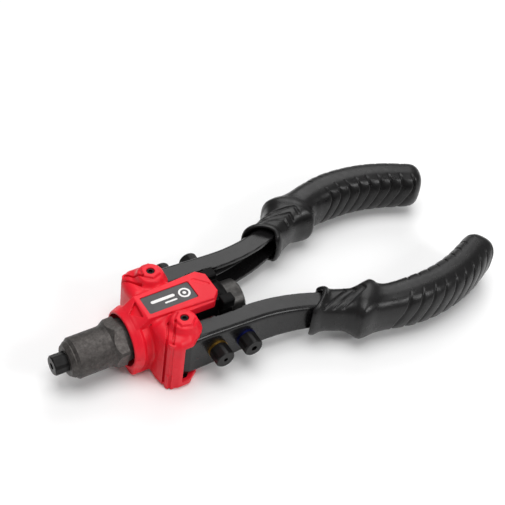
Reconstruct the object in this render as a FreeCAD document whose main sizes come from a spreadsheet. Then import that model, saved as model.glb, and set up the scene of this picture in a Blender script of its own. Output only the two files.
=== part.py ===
"""Two-handed lever riveter, built as a parametric assembly.

Frame (millimetres): the tool lies flat, +Z up. +X runs from the nose to the grips and Y runs
across the tool, whose two halves mirror in Y = 0. The origin is the centre of the nose mouth.

How it works: each arm carries a toothed sector that turns on a pivot bolt and meshes with a rack
on one side of the nose slide. Opening the arms draws the nose slide, barrel and nosepiece
rearward over the jaws, which are held by the fixed drawbar. Closing them drives the nose forward
again, so that the jaws pull a mandrel. The rest pose is closed.
"""
import FreeCAD
import Part
import Sketcher
import math
import os
import re

V = FreeCAD.Vector
X_AXIS, Y_AXIS, Z_AXIS = V(1, 0, 0), V(0, 1, 0), V(0, 0, 1)

# Driving dimensions: alias and value, in millimetres and degrees.
DIMENSIONS = {
    # nose
    "nosepiece_radius": 6.1, "nosepiece_flats": 11.5, "nosepiece_head": 8.6, "nosepiece_length": 18.2,
    "nosepiece_thread": 4.5, "nosepiece_bore": 2.0, "nosepiece_tail": 3.6,
    "barrel_front": 8.6, "barrel_radius": 12.5, "barrel_wall_end": 16.0, "barrel_bore": 9.0,
    "barrel_flare": 32.5, "barrel_base": 37.6, "barrel_base_end": 42.6,
    "barrel_base_radius": 15.0, "barrel_neck": 13.2, "barrel_flats_turn": 13.0, "barrel_flats": 27.0,
    "barrel_rear": 46.0, "spigot_start": 38.5, "spigot_radius": 11.0, "spigot_bore": 8.9,
    "slide_neck": 57.0, "slide_step": 49.0, "slide_bore": 4.8, "rack_end": 80.6, "slide_end": 96.0,
    "slide_tail_radius": 6.94,
    # rack and sectors
    "gear_module": 2.5, "pressure_angle": 25.0, "pitch_radius": 11.0, "gear_backlash": 0.2,
    "rack_half_thickness": 7.0, "addendum_factor": 0.75, "dedendum_factor": 1.0,
    # jaws and drawbar
    "case_front": 25.5, "case_rear": 48.0, "case_radius": 8.6, "case_mouth": 4.9, "case_cone_end": 39.0,
    "case_cone_radius": 7.3, "case_seat": 44.5, "jaw_front": 26.4, "jaw_rear": 36.4, "jaw_gap": 0.08,
    "jaw_bore": 1.4, "jaw_sweep": 108.0, "jaw_chamfer": 2.8, "pusher_nose": 1.2, "pusher_rear": 38.4,
    "pusher_spigot": 40.0,
    "pusher_radius": 6.4, "pusher_bore": 2.2, "spring_front": 40.6, "spring_radius": 4.6,
    "spring_wire": 0.45, "spring_pitch": 1.1, "rod_radius": 4.5, "rod_rear": 120.0, "rod_bore": 2.2,
    # head
    "pivot_x": 73.0, "pivot_y": 20.4, "cheek_low": 14.7, "cheek_high": 17.2, "cheek_ear": 9.8,
    "block_front": 54.2, "block_rear": 60.5, "block_radius": 15.2,
    "guide_bore": 11.06, "cheek_front": 57.5, "tail_block_front": 90.0, "tail_block_rear": 103.0,
    "tail_half_width": 10.3, "tail_guide_bore": 7.0, "cheek_rear": 80.0,
    "sleeve_front": 97.0, "sleeve_rear": 123.0, "sleeve_radius": 12.0, "sleeve_thread": 8.9,
    "sleeve_bore": 7.4, "sleeve_seat": 105.0, "sleeve_exit": 2.6, "sleeve_flats": 21.4,
    "collar_front": 103.6, "collar_rear": 112.0, "collar_radius": 15.4, "collar_lug_width": 14.4,
    "collar_lug_low": 11.6, "collar_lug_high": 17.6, "collar_lug_inner": 8.0,
    # pivot bolts
    "bolt_radius": 4.0, "bolt_flats": 10.5, "bolt_head": 4.4, "nut_height": 3.0, "nut_flats": 13.0,
    "bush_radius": 5.5, "bush_bore": 4.05, "bush_half_length": 14.4,
    # arms
    "arm_half_height": 14.4, "arm_tip_half_height": 8.6, "arm_taper_start": 85.0, "arm_taper_end": 180.0,
    "arm_sheet": 2.8, "arm_width": 13.2, "arm_web": 30.4, "arm_straight_end": 118.0,
    "arm_bend_radius": 115.0, "arm_relief_start": 97.0, "arm_relief_end": 114.0, "arm_relief_y": 18.2,
    "arm_bend_angle": 24.0, "arm_lead": 19.2, "grip_curve_radius": 108.0, "tang_sweep": 30.0,
    "hub_half_height": 11.5, "hub_back": 7.0, "hub_tongue": 11.5,
    "hub_tongue_height": 9.0, "pin_radius": 1.1, "pin_circle": 7.0,
    # grips
    "grip_start": 86.0, "grip_end_run": 21.5, "grip_power": 2.7,
    # stored nosepieces
    "spare_front_x": 91.5, "spare_rear_x": 111.0, "spare_ring_radius": 6.3, "spare_ring_height": 1.4,
    "spare_nut_radius": 6.4, "spare_nut_height": 3.0,
    # covers
    "cover_wall": 2.5, "cover_top": 20.2, "cover_lip": 14.6, "crown_radius": 4.0, "ring_front": 44.3,
    "ring_rear": 50.5, "ring_radius": 19.6, "foot_half_width": 14.9, "foot_depth": 19.5,
    "ring_mouth_radius": 17.7,
    "ring_bore": 16.2, "valley_radius": 17.9, "valley_bore": 15.6, "wing_front": 57.0, "wing_root": 12.0,
    "wing_side": 33.7, "wing_side_rear": 67.3, "wing_corner": 6.5, "wing_corner_cut": 1.95,
    "lobe_radius": 11.4, "lobe_forward": 1.0, "lobe_outward": 1.0,
    "platform_top": 22.3,
    "platform_half_width": 9.6, "platform_front": 55.6, "cover_tail_rear": 103.2,
    "cover_tail_half_width": 12.6, "cover_tail_end_half_width": 7.6, "cover_tail_chamfer": 98.4,
    "boss_top": 26.2, "boss_flats": 12.4, "boss_foot": 9.8, "boss_neck": 7.3, "boss_hole": 2.5,
    "boss_shoulder": 24.8, "boss_sink": 0.8, "post_x": 62.0, "post_y": 28.4,
    "post_radius": 3.0, "screw_radius": 1.5, "screw_head_radius": 2.7, "screw_head": 2.0,
    "tail_screw_x": 99.5, "tail_screw_y": 8.0, "split_gap": 0.1,
    # label
    "label_front": 58.7, "label_rear": 90.3, "label_half_width": 6.6, "label_top": 21.7,
    "label_thickness": 1.0, "label_corner": 0.8,
}

doc = FreeCAD.newDocument("HandRiveter")
sheet = doc.addObject("Spreadsheet::Sheet", "dims")
for row, (alias, value) in enumerate(DIMENSIONS.items(), start=1):
    sheet.set(f"A{row}", alias)
    sheet.set(f"B{row}", str(value))
    sheet.setAlias(f"B{row}", alias)
doc.recompute()

SUBPARTS = {}


def dim(alias):
    """Value of one driving dimension, read back from the sheet."""
    return float(sheet.get(alias))


def bound(expression):
    """Expression text with every alias written as a reference to the sheet."""
    def reference(word):
        return f"dims.{word[0]}" if word[0] in DIMENSIONS else word[0]

    return re.sub(r"[a-z_]+", reference, expression)


def evaluate(expression):
    """Number that an expression over the aliases stands for, used as a sketch's first guess."""
    total, sign = 0.0, 1.0
    for word in expression.split():
        if word in "+-":
            sign = 1.0 if word == "+" else -1.0
            continue
        total += sign * (dim(word) if word in DIMENSIONS else float(word))
        sign = 1.0
    return total


def keep(label, shape_object):
    """Name one finished sub-part, which names its file too."""
    shape_object.Label = label
    SUBPARTS[label] = shape_object
    return shape_object


def origin_plane(body, role):
    return next(item for item in body.Origin.OriginFeatures if item.Role == role)


def outline_sketch(body, name, points):
    """Closed straight-sided sketch on the body's XY plane; each point is a pair of expressions."""
    sketch = body.newObject("Sketcher::SketchObject", name)
    sketch.AttachmentSupport = (origin_plane(body, "XY_Plane"), [""])
    sketch.MapMode = "FlatFace"
    guess = [V(evaluate(x), evaluate(y), 0) for x, y in points]
    for start, end in zip(guess, guess[1:] + guess[:1]):
        sketch.addGeometry(Part.LineSegment(start, end), False)
    count = len(points)
    for index in range(count):
        sketch.addConstraint(Sketcher.Constraint("Coincident", index, 2, (index + 1) % count, 1))
    for index, (x, y) in enumerate(points):
        for kind, text, value in (("DistanceX", x, guess[index].x), ("DistanceY", y, guess[index].y)):
            if text == "0":
                line = -2 if kind == "DistanceX" else -1
                sketch.addConstraint(Sketcher.Constraint("PointOnObject", index, 1, line))
                continue
            number = sketch.addConstraint(Sketcher.Constraint(kind, -1, 1, index, 1, value))
            sketch.setExpression(f"Constraints[{number}]", bound(text))
    return sketch


def turned(name, points, sweep=None):
    """Turned piece about the X axis; each point is (distance along X, radius)."""
    body = doc.addObject("PartDesign::Body", name)
    sketch = outline_sketch(body, f"{name}_profile", points)
    turn = body.newObject("PartDesign::Revolution", f"{name}_turn")
    turn.Profile = sketch
    turn.ReferenceAxis = (sketch, ["H_Axis"])
    turn.Midplane = True
    turn.Angle = 360
    if sweep:
        turn.setExpression("Angle", bound(sweep))
    return body


def padded(name, points, height):
    """Flat plate standing on the XY plane."""
    body = doc.addObject("PartDesign::Body", name)
    sketch = outline_sketch(body, f"{name}_outline", points)
    pad = body.newObject("PartDesign::Pad", f"{name}_pad")
    pad.Profile = sketch
    pad.setExpression("Length", bound(height))
    return body


def cylinder(name, radius, height, x="0", y="0", z="0", along="z"):
    item = doc.addObject("Part::Cylinder", name)
    item.setExpression("Radius", bound(radius))
    item.setExpression("Height", bound(height))
    turn = {"z": FreeCAD.Rotation(), "x": FreeCAD.Rotation(Y_AXIS, 90)}[along]
    item.Placement = FreeCAD.Placement(V(), turn)
    for letter, text in zip("xyz", (x, y, z)):
        item.setExpression(f"Placement.Base.{letter}", bound(text))
    return item


def box(name, x0, x1, y0, y1, z0, z1):
    item = doc.addObject("Part::Box", name)
    for side, low, high in (("Length", x0, x1), ("Width", y0, y1), ("Height", z0, z1)):
        item.setExpression(side, bound(f"( {high} ) - ( {low} )"))
    for letter, low in zip("xyz", (x0, y0, z0)):
        item.setExpression(f"Placement.Base.{letter}", bound(low))
    return item


def hexagon(name, flats, height, x="0", y="0", z="0", along="z"):
    """Hexagonal prism given by its width across flats."""
    item = doc.addObject("Part::Prism", name)
    item.Polygon = 6
    item.setExpression("Circumradius", bound(f"({flats}) / sqrt(3)"))
    item.setExpression("Height", bound(height))
    turn = {"z": FreeCAD.Rotation(), "x": FreeCAD.Rotation(Y_AXIS, 90)}[along]
    item.Placement = FreeCAD.Placement(V(), turn)
    for letter, text in zip("xyz", (x, y, z)):
        item.setExpression(f"Placement.Base.{letter}", bound(text))
    return item


def cut(name, base, tool):
    item = doc.addObject("Part::Cut", name)
    item.Base, item.Tool = base, tool
    return item


def fused(name, items):
    item = doc.addObject("Part::MultiFuse", name)
    item.Shapes = items
    return item


def common(name, items):
    item = doc.addObject("Part::MultiCommon", name)
    item.Shapes = items
    return item


def grouped(name, items):
    item = doc.addObject("Part::Compound", name)
    item.Links = items
    return item


def mirrored(name, source):
    """Opposite-hand copy across the tool's mid plane Y = 0."""
    item = doc.addObject("Part::Mirroring", name)
    item.Source = source
    item.Normal = Y_AXIS
    return item


def shaped(name, shape):
    item = doc.addObject("Part::Feature", name)
    item.Shape = shape
    return item


# ---------------------------------------------------------------- nose
def nosepiece(name, bore):
    """Threaded nosepiece with a faceted head, its mouth at X = 0 and its tail pointing to +X."""
    profile = turned(f"{name}_turned", [
        ("0", bore), ("0", "nosepiece_radius - 0.7"), ("0.7", "nosepiece_radius"),
        ("nosepiece_head", "nosepiece_radius"), ("nosepiece_head", "nosepiece_thread"),
        ("barrel_wall_end", "nosepiece_thread"), ("nosepiece_length", "nosepiece_tail"),
        ("nosepiece_length", bore)])
    head = hexagon(f"{name}_facets", "nosepiece_flats", "nosepiece_head", along="x")
    shank = cylinder(f"{name}_shank", "nosepiece_thread", "nosepiece_length", along="x")
    return common(name, [profile, fused(f"{name}_envelope", [head, shank])])


def build_nose():
    keep("nosepiece_fitted", nosepiece("fitted_nosepiece", "nosepiece_bore"))

    turned_barrel = turned("barrel_turned", [
        ("barrel_front", "nosepiece_thread"), ("barrel_front", "barrel_radius - 3.2"),
        ("barrel_front + 2.4", "barrel_radius - 1.5"), ("barrel_front + 3.0", "barrel_radius - 1.5"),
        ("barrel_front + 4.7", "barrel_radius"), ("barrel_flare", "barrel_radius"),
        ("barrel_flare + 2.2", "barrel_radius + 0.5"), ("barrel_base - 1.0", "barrel_base_radius - 0.6"),
        ("barrel_base", "barrel_base_radius"), ("barrel_base_end", "barrel_base_radius"),
        ("barrel_base_end", "barrel_neck"), ("barrel_rear", "barrel_neck"),
        ("barrel_rear", "spigot_radius"), ("spigot_start", "spigot_radius"),
        ("spigot_start", "barrel_bore"), ("barrel_wall_end", "barrel_bore"),
        ("barrel_wall_end", "nosepiece_thread")])
    sheath = cylinder("barrel_sheath", "barrel_base_radius + 4", "barrel_rear - barrel_flare + 1",
                      x="barrel_flare", along="x")
    wrench = hexagon("barrel_wrench", "barrel_flats", "barrel_rear - barrel_flare + 3",
                     x="barrel_flare - 1", along="x")
    wrench.Placement.Rotation = FreeCAD.Rotation(X_AXIS, dim("barrel_flats_turn")).multiply(
        wrench.Placement.Rotation)
    keep("barrel", cut("barrel_body", turned_barrel, cut("barrel_flats_tool", sheath, wrench)))

    keep("nose_slide", shaped("nose_slide_body", nose_slide_shape()))


def rack_tooth(x_mid, side):
    """One straight-flanked rack tooth on the side of the slide facing +Y or -Y."""
    module, angle = dim("gear_module"), math.radians(dim("pressure_angle"))
    pitch_y = dim("pivot_y") - dim("pitch_radius")
    half = math.pi * module / 4 - dim("gear_backlash") / 4
    tip, root = dim("addendum_factor") * module, dim("dedendum_factor") * module
    overlap = 0.5
    profile = [(-half - (root + overlap) * math.tan(angle), -root - overlap),
               (-half + tip * math.tan(angle), tip), (half - tip * math.tan(angle), tip),
               (half + (root + overlap) * math.tan(angle), -root - overlap)]
    height = dim("rack_half_thickness")
    points = [V(x_mid + x, side * (pitch_y + y), -height) for x, y in profile]
    face = Part.Face(Part.makePolygon(points + points[:1]))
    return face.extrude(V(0, 0, 2 * height))


def nose_slide_shape():
    """Tube with a threaded spigot in front, racks on both sides and a guide tail behind."""
    neck, rack_end, height = dim("slide_neck"), dim("rack_end"), dim("rack_half_thickness")
    root_y = dim("pivot_y") - dim("pitch_radius") - dim("dedendum_factor") * dim("gear_module")
    spigot = Part.makeCylinder(dim("spigot_radius"), neck - dim("spigot_start"),
                               V(dim("spigot_start"), 0, 0), X_AXIS)
    bar = Part.makeBox(rack_end - neck + 1, 2 * root_y, 2 * height, V(neck - 1, -root_y, -height))
    tail = Part.makeCylinder(dim("slide_tail_radius"), dim("slide_end") - rack_end + 1,
                             V(rack_end - 1, 0, 0), X_AXIS)
    solid = spigot.fuse([bar, tail])
    pitch = math.pi * dim("gear_module")
    for side in (-1, 1):
        for step in (-1.5, -0.5, 0.5):
            solid = solid.fuse(rack_tooth(dim("pivot_x") + step * pitch, side))
    front_room = Part.makeCylinder(dim("spigot_bore"), dim("slide_step") - dim("spigot_start"),
                                   V(dim("spigot_start"), 0, 0), X_AXIS)
    rod_room = Part.makeCylinder(dim("slide_bore"), dim("slide_end"), V(dim("spigot_start"), 0, 0), X_AXIS)
    return solid.cut([front_room, rod_room]).removeSplitter()


# ---------------------------------------------------------------- jaws and drawbar
def build_jaws():
    keep("jaw_case", turned("jaw_case_body", [
        ("case_front", "case_mouth"), ("case_front", "case_radius - 0.8"),
        ("case_front + 0.8", "case_radius"), ("case_rear", "case_radius"), ("case_rear", "rod_radius"),
        ("case_seat", "rod_radius"), ("case_seat", "case_cone_radius"),
        ("case_cone_end", "case_cone_radius")]))

    taper = (dim("case_cone_radius") - dim("case_mouth")) / (dim("case_cone_end") - dim("case_front"))
    front_radius = dim("case_mouth") + (dim("jaw_front") - dim("case_front")) * taper - dim("jaw_gap")
    rear_radius = dim("case_mouth") + (dim("jaw_rear") - dim("case_front")) * taper - dim("jaw_gap")
    for number in range(3):
        jaw = turned(f"jaw_{number + 1}_body", [
            ("jaw_front", "jaw_bore"), ("jaw_front", f"{front_radius}"), ("jaw_rear", f"{rear_radius}"),
            ("jaw_rear", "jaw_bore + jaw_chamfer"), ("jaw_rear - jaw_chamfer", "jaw_bore")],
            sweep="jaw_sweep")
        jaw.Placement = FreeCAD.Placement(V(), FreeCAD.Rotation(X_AXIS, 120 * number))
        keep(f"jaw_{number + 1}", jaw)

    keep("jaw_pusher", turned("jaw_pusher_body", [
        ("jaw_rear - pusher_nose", "pusher_bore"), ("jaw_rear - pusher_nose", "pusher_bore + 0.5"),
        ("jaw_rear + 0.05", "pusher_bore + pusher_nose + 0.55"),
        ("jaw_rear + 0.05", "pusher_radius"), ("pusher_rear", "pusher_radius"),
        ("pusher_rear", "spring_radius - 1.2"), ("pusher_spigot", "spring_radius - 1.2"),
        ("pusher_spigot", "pusher_bore")]))

    keep("jaw_spring", shaped("jaw_spring_body", jaw_spring_shape()))

    keep("drawbar", turned("drawbar_body", [
        ("case_seat", "rod_bore"), ("case_seat", "rod_radius"), ("rod_rear", "rod_radius"),
        ("rod_rear", "rod_bore")]))


def jaw_spring_shape():
    """Compression spring about the X axis, its wire built as short straight lengths."""
    radius, wire, pitch = dim("spring_radius"), dim("spring_wire"), dim("spring_pitch")
    travel = dim("case_seat") - dim("spring_front") - 2 * wire
    steps_per_turn, corners = 20, 8
    count = math.ceil(steps_per_turn * travel / pitch)
    sections = []
    for step in range(count + 1):
        angle = 2 * math.pi * travel / pitch * step / count
        outward = V(0, math.cos(angle), math.sin(angle))
        centre = V(dim("spring_front") + wire + travel * step / count, 0, 0) + outward * radius
        turns = [2 * math.pi * k / corners for k in range(corners + 1)]
        points = [centre + outward * (wire * math.cos(t)) + X_AXIS * (wire * math.sin(t)) for t in turns]
        sections.append(Part.makePolygon(points))
    return Part.makeLoft(sections, True, True)


# ---------------------------------------------------------------- head
def build_head():
    block = cylinder("front_block", "block_radius", "block_rear - block_front", x="block_front", along="x")
    bridge = box("front_bridge", "cheek_front", "block_rear", "0 - tail_half_width",
                 "tail_half_width", "0 - cheek_high", "cheek_high")
    tail = box("tail_block", "tail_block_front", "tail_block_rear", "0 - tail_half_width",
               "tail_half_width", "0 - cheek_high", "cheek_high")
    solids = [block, bridge, tail]
    for level, low, high in (("upper", "cheek_low", "cheek_high"),
                             ("lower", "0 - cheek_high", "0 - cheek_low")):
        solids.append(box(f"{level}_strip", "cheek_front", "tail_block_rear", "0 - tail_half_width",
                          "tail_half_width", low, high))
        solids.append(box(f"{level}_cheek", "block_rear - 0.5", "cheek_rear", "0 - pivot_y", "pivot_y",
                          low, high))
        for side, y in (("left", "0 - pivot_y"), ("right", "pivot_y")):
            solids.append(cylinder(f"{level}_{side}_ear", "cheek_ear", "cheek_high - cheek_low",
                                   x="pivot_x", y=y, z=low))
    tools = [cylinder("guide_hole", "guide_bore", "block_rear", x="block_front - 1", along="x"),
             cylinder("tail_guide_hole", "tail_guide_bore", "sleeve_front", x="tail_block_front - 1",
                      along="x"),
             cylinder("sleeve_hole", "sleeve_thread", "tail_block_rear - sleeve_front + 1",
                      x="sleeve_front", along="x"),
             box("rack_slot", "slide_neck", "block_rear + 1",
                 "0 - pitch_radius - 0.7", "pitch_radius + 0.7",
                 "0 - rack_half_thickness - 0.4", "rack_half_thickness + 0.4"),
             box("window", "block_rear", "tail_block_front", "0 - pivot_y", "pivot_y",
                 "0 - cheek_low", "cheek_low")]
    for side, y in (("left", "0 - pivot_y"), ("right", "pivot_y")):
        tools.append(cylinder(f"{side}_bolt_hole", "bolt_radius", "2 * cheek_high + 2", x="pivot_x",
                              y=y, z="0 - cheek_high - 1"))
        tools.append(cylinder(f"{side}_tail_screw_hole", "screw_radius", "6",
                              x="tail_screw_x", y=y.replace("pivot_y", "tail_screw_y"),
                              z="0 - cheek_high - 0.1"))
    keep("head_frame", cut("head_frame_body", fused("head_frame_stock", solids),
                           fused("head_frame_room", tools)))

    sleeve = turned("rear_sleeve_turned", [
        ("sleeve_front", "sleeve_bore"), ("sleeve_front", "sleeve_thread"),
        ("tail_block_rear", "sleeve_thread"), ("tail_block_rear", "sleeve_radius"),
        ("sleeve_rear - 1.0", "sleeve_radius"), ("sleeve_rear", "sleeve_radius - 1.0"),
        ("sleeve_rear", "sleeve_exit"), ("rod_rear", "sleeve_exit"), ("rod_rear", "rod_radius"),
        ("sleeve_seat", "rod_radius"), ("sleeve_seat", "sleeve_bore")])
    flats = []
    for side, low, high in (("left", "0 - sleeve_radius - 1", "0 - sleeve_flats / 2"),
                            ("right", "sleeve_flats / 2", "sleeve_radius + 1")):
        flats.append(box(f"sleeve_{side}_flat", "collar_rear + 2.5", "sleeve_rear + 1", low, high,
                         "0 - sleeve_radius", "sleeve_radius"))
    keep("rear_sleeve", cut("rear_sleeve_body", sleeve, fused("sleeve_flats_tool", flats)))

    ring = cylinder("collar_ring", "collar_radius", "collar_rear - collar_front", x="collar_front",
                    along="x")
    lugs = []
    for name, y0, y1, z0, z1 in (
            ("upper_left", "0 - collar_lug_width", "0 - collar_lug_inner", "collar_lug_low",
             "collar_lug_high"),
            ("upper_right", "collar_lug_inner", "collar_lug_width", "collar_lug_low",
             "collar_lug_high"),
            ("lower_left", "0 - collar_lug_width", "0 - collar_lug_inner", "0 - collar_lug_high",
             "0 - collar_lug_low"),
            ("lower_right", "collar_lug_inner", "collar_lug_width", "0 - collar_lug_high",
             "0 - collar_lug_low")):
        lugs.append(box(f"collar_{name}_lug", "collar_front", "collar_rear", y0, y1, z0, z1))
    bridge_top = box("collar_bridge_top", "collar_front", "collar_rear - 1", "0 - collar_lug_inner - 1",
                     "collar_lug_inner + 1", "sleeve_radius", "collar_lug_high")
    bridge_low = box("collar_bridge_low", "collar_front", "collar_rear - 1", "0 - collar_lug_inner - 1",
                     "collar_lug_inner + 1", "0 - collar_lug_high", "0 - sleeve_radius")
    hole = cylinder("collar_hole", "sleeve_radius", "collar_rear", x="collar_front - 1", along="x")
    keep("rear_collar", cut("rear_collar_body",
                            fused("collar_stock", [ring, bridge_top, bridge_low] + lugs), hole))


def build_pivots():
    nuts = []
    for side, y in (("left", "0 - pivot_y"), ("right", "pivot_y")):
        shank = cylinder(f"{side}_bolt_shank", "bolt_radius", "2 * cheek_high + nut_height", x="pivot_x",
                         y=y, z="0 - cheek_high - nut_height")
        head = hexagon(f"{side}_bolt_head", "bolt_flats", "bolt_head", x="pivot_x", y=y, z="cheek_high")
        flange = cylinder(f"{side}_bolt_flange", "bolt_flats / 2", "0.8", x="pivot_x", y=y, z="cheek_high")
        socket = hexagon(f"{side}_bolt_socket", "4", "bolt_head", x="pivot_x", y=y, z="cheek_high + 1.6")
        keep(f"pivot_bolt_{side}", cut(f"{side}_bolt_body",
                                       fused(f"{side}_bolt_stock", [shank, head, flange]), socket))
        nut = hexagon(f"{side}_nut_blank", "nut_flats", "nut_height", x="pivot_x", y=y,
                      z="0 - cheek_high - nut_height")
        hole = cylinder(f"{side}_nut_hole", "bolt_radius", "nut_height + 2", x="pivot_x", y=y,
                        z="0 - cheek_high - nut_height - 1")
        nuts.append(cut(f"{side}_nut", nut, hole))
    keep("pivot_nuts", grouped("pivot_nuts_body", nuts))


# ---------------------------------------------------------------- covers
def hexagon_solid(flats, x, y, z0, z1):
    radius = flats / 2 / math.cos(math.pi / 6)
    turns = [math.pi / 3 * k for k in range(7)]
    points = [V(x + radius * math.cos(turn), y + radius * math.sin(turn), z0) for turn in turns]
    return Part.Face(Part.makePolygon(points)).extrude(V(0, 0, z1 - z0))


def prism(points, z0, z1):
    corners = [V(x, y, z0) for x, y in points]
    return Part.Face(Part.makePolygon(corners + corners[:1])).extrude(V(0, 0, z1 - z0))


def along_x(radius, x0, x1):
    return Part.makeCylinder(radius, x1 - x0, V(x0, 0, 0), X_AXIS)


def wing(side, inset, z0, z1):
    """Wing over one pivot: a boxy front with its side wall, and a round lobe around the bolt."""
    px, py = dim("pivot_x"), dim("pivot_y")
    front, outer = dim("wing_front") + inset, dim("wing_side") - inset
    root, rear = dim("wing_root") - inset, dim("wing_side_rear")
    corner, cut_back = dim("wing_corner"), dim("wing_corner_cut")
    points = [(front, side * root * 0.5), (front, side * (outer - corner)),
              (front + cut_back, side * (outer - cut_back)), (front + corner, side * outer),
              (px + 1, side * outer), (px + 1, side * root * 0.5)]
    plate = prism(points, z0, z1)
    behind = V(rear + 4.0, side * (outer - 2) - 60 * (side < 0), z0)
    trimmed = plate.cut(Part.makeBox(60, 60, z1 - z0, behind))
    lobe_x, lobe_y, lobe = px - dim("lobe_forward"), py + dim("lobe_outward"), dim("lobe_radius") - inset
    infill = prism([(px - 2, side * root * 0.5), (lobe_x + lobe, side * root * 0.5),
                    (lobe_x + lobe, side * lobe_y), (px - 2, side * lobe_y)], z0, z1)
    lobe = Part.makeCylinder(lobe, z1 - z0, V(lobe_x, side * lobe_y, z0), Z_AXIS)
    return trimmed.fuse([lobe, infill]).removeSplitter()


def tail_outline(inset):
    chamfer, rear = dim("cover_tail_chamfer"), dim("cover_tail_rear") - inset
    wide, narrow = dim("cover_tail_half_width") - inset, dim("cover_tail_end_half_width")
    front = dim("block_rear")
    one_side = [(front, wide), (chamfer, wide), (rear, narrow)]
    return [(x, -y) for x, y in one_side] + one_side[::-1]


def rounded_crown(block, crown):
    """Round the outboard edges of a block's flat top, which lies at the height crown."""
    edges = [edge for edge in block.Edges
             if abs(edge.CenterOfMass.y) > 8 and all(abs(v.Z - crown) < 1e-6 for v in edge.Vertexes)]
    return block.makeFillet(dim("crown_radius"), edges)


def cover_outside(z_sign):
    """Outer form of one shell, as if the tool were solid, on its own side of Z = 0."""
    top = dim("cover_top")
    z0, z1 = (0, top) if z_sign > 0 else (-top, 0)
    ring_length = dim("ring_rear") - dim("ring_front")
    forms = [Part.makeCone(dim("ring_mouth_radius"), dim("ring_radius"), ring_length,
                           V(dim("ring_front"), 0, 0), X_AXIS),
             along_x(dim("valley_radius"), dim("ring_rear") - 1, dim("wing_front") + 4)]
    for side in (-1, 1):
        forms.append(rounded_crown(wing(side, 0, z0, z1), z_sign * top))
    forms.append(prism(tail_outline(0), z0, z1))
    if z_sign > 0:
        half, front = dim("platform_half_width"), dim("platform_front")
        rear_outline = [(front, -half), (dim("cover_tail_chamfer"), -half - 2.2),
                        (dim("cover_tail_rear"), -dim("cover_tail_end_half_width")),
                        (dim("cover_tail_rear"), dim("cover_tail_end_half_width")),
                        (dim("cover_tail_chamfer"), half + 2.2), (front, half)]
        forms.append(prism(rear_outline, 0, dim("platform_top")))
        ramp = [V(dim("ring_rear") - 2, -half, 10), V(front + 1, -half, 10),
                V(front + 1, -half, dim("platform_top")),
                V(dim("ring_rear") - 2, -half, dim("ring_radius") - 2)]
        forms.append(Part.Face(Part.makePolygon(ramp + ramp[:1])).extrude(V(0, 2 * half, 0)))
        for side in (-1, 1):
            base = V(dim("pivot_x"), side * dim("pivot_y"), top - dim("boss_sink"))
            rise = dim("boss_shoulder") - base.z
            forms.append(Part.makeCone(dim("boss_foot"), dim("boss_neck"), rise, base))
            forms.append(hexagon_solid(dim("boss_flats"), dim("pivot_x"), side * dim("pivot_y"),
                                       top, dim("boss_top")))
    else:
        corner = V(dim("ring_front") + 0.4, -dim("foot_half_width"), -dim("foot_depth"))
        forms.append(Part.makeBox(dim("wing_front") + 2 - corner.x, -2 * corner.y, -corner.z, corner))
    return forms[0].fuse(forms[1:])


def cover_room(z_sign):
    """Everything that one shell leaves free for the head, the arms, the barrel and the bolts."""
    wall, inner = dim("cover_wall"), dim("cheek_high") + 0.2
    z0, z1 = (-1, inner) if z_sign > 0 else (-inner, 1)
    px, py = dim("pivot_x"), dim("pivot_y")
    rooms = [along_x(dim("ring_bore"), dim("ring_front") - 1, dim("ring_rear")),
             along_x(dim("valley_bore"), dim("ring_rear") - 1, dim("wing_front") + wall + 1)]
    for side in (-1, 1):
        rooms.append(wing(side, wall, z0, z1))
        rear = dim("wing_side_rear")
        rooms.append(Part.makeBox(60, 60, z1 - z0, V(rear, side * (py - 8) - 60 * (side < 0), z0)))
        lip = dim("cover_lip")
        rooms.append(Part.makeBox(60, 60, 2 * lip, V(rear, side * 8 - 60 * (side < 0), -lip)))
        bore_top = dim("boss_top") + 1 if z_sign > 0 else -dim("cover_top") - 1
        rooms.append(Part.makeCylinder(dim("boss_hole"), abs(bore_top), V(px, side * py, 0),
                                       V(0, 0, z_sign)))
        if z_sign > 0:
            rooms.append(hexagon_solid(dim("bolt_flats") + 0.6, px, side * py, inner - 1,
                                       dim("cheek_high") + dim("bolt_head") + 0.3))
        else:
            rooms.append(hexagon_solid(dim("nut_flats") + 0.6, px, side * py,
                                       -dim("cover_top") - 1, 1 - inner))
    rooms.append(prism([(dim("cheek_front") - 0.3, -dim("tail_half_width") - 0.2),
                        (dim("tail_block_rear") + 2, -dim("tail_half_width") - 0.2),
                        (dim("tail_block_rear") + 2, dim("tail_half_width") + 0.2),
                        (dim("cheek_front") - 0.3, dim("tail_half_width") + 0.2)], z0, z1))
    return rooms[0].fuse(rooms[1:])


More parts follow.
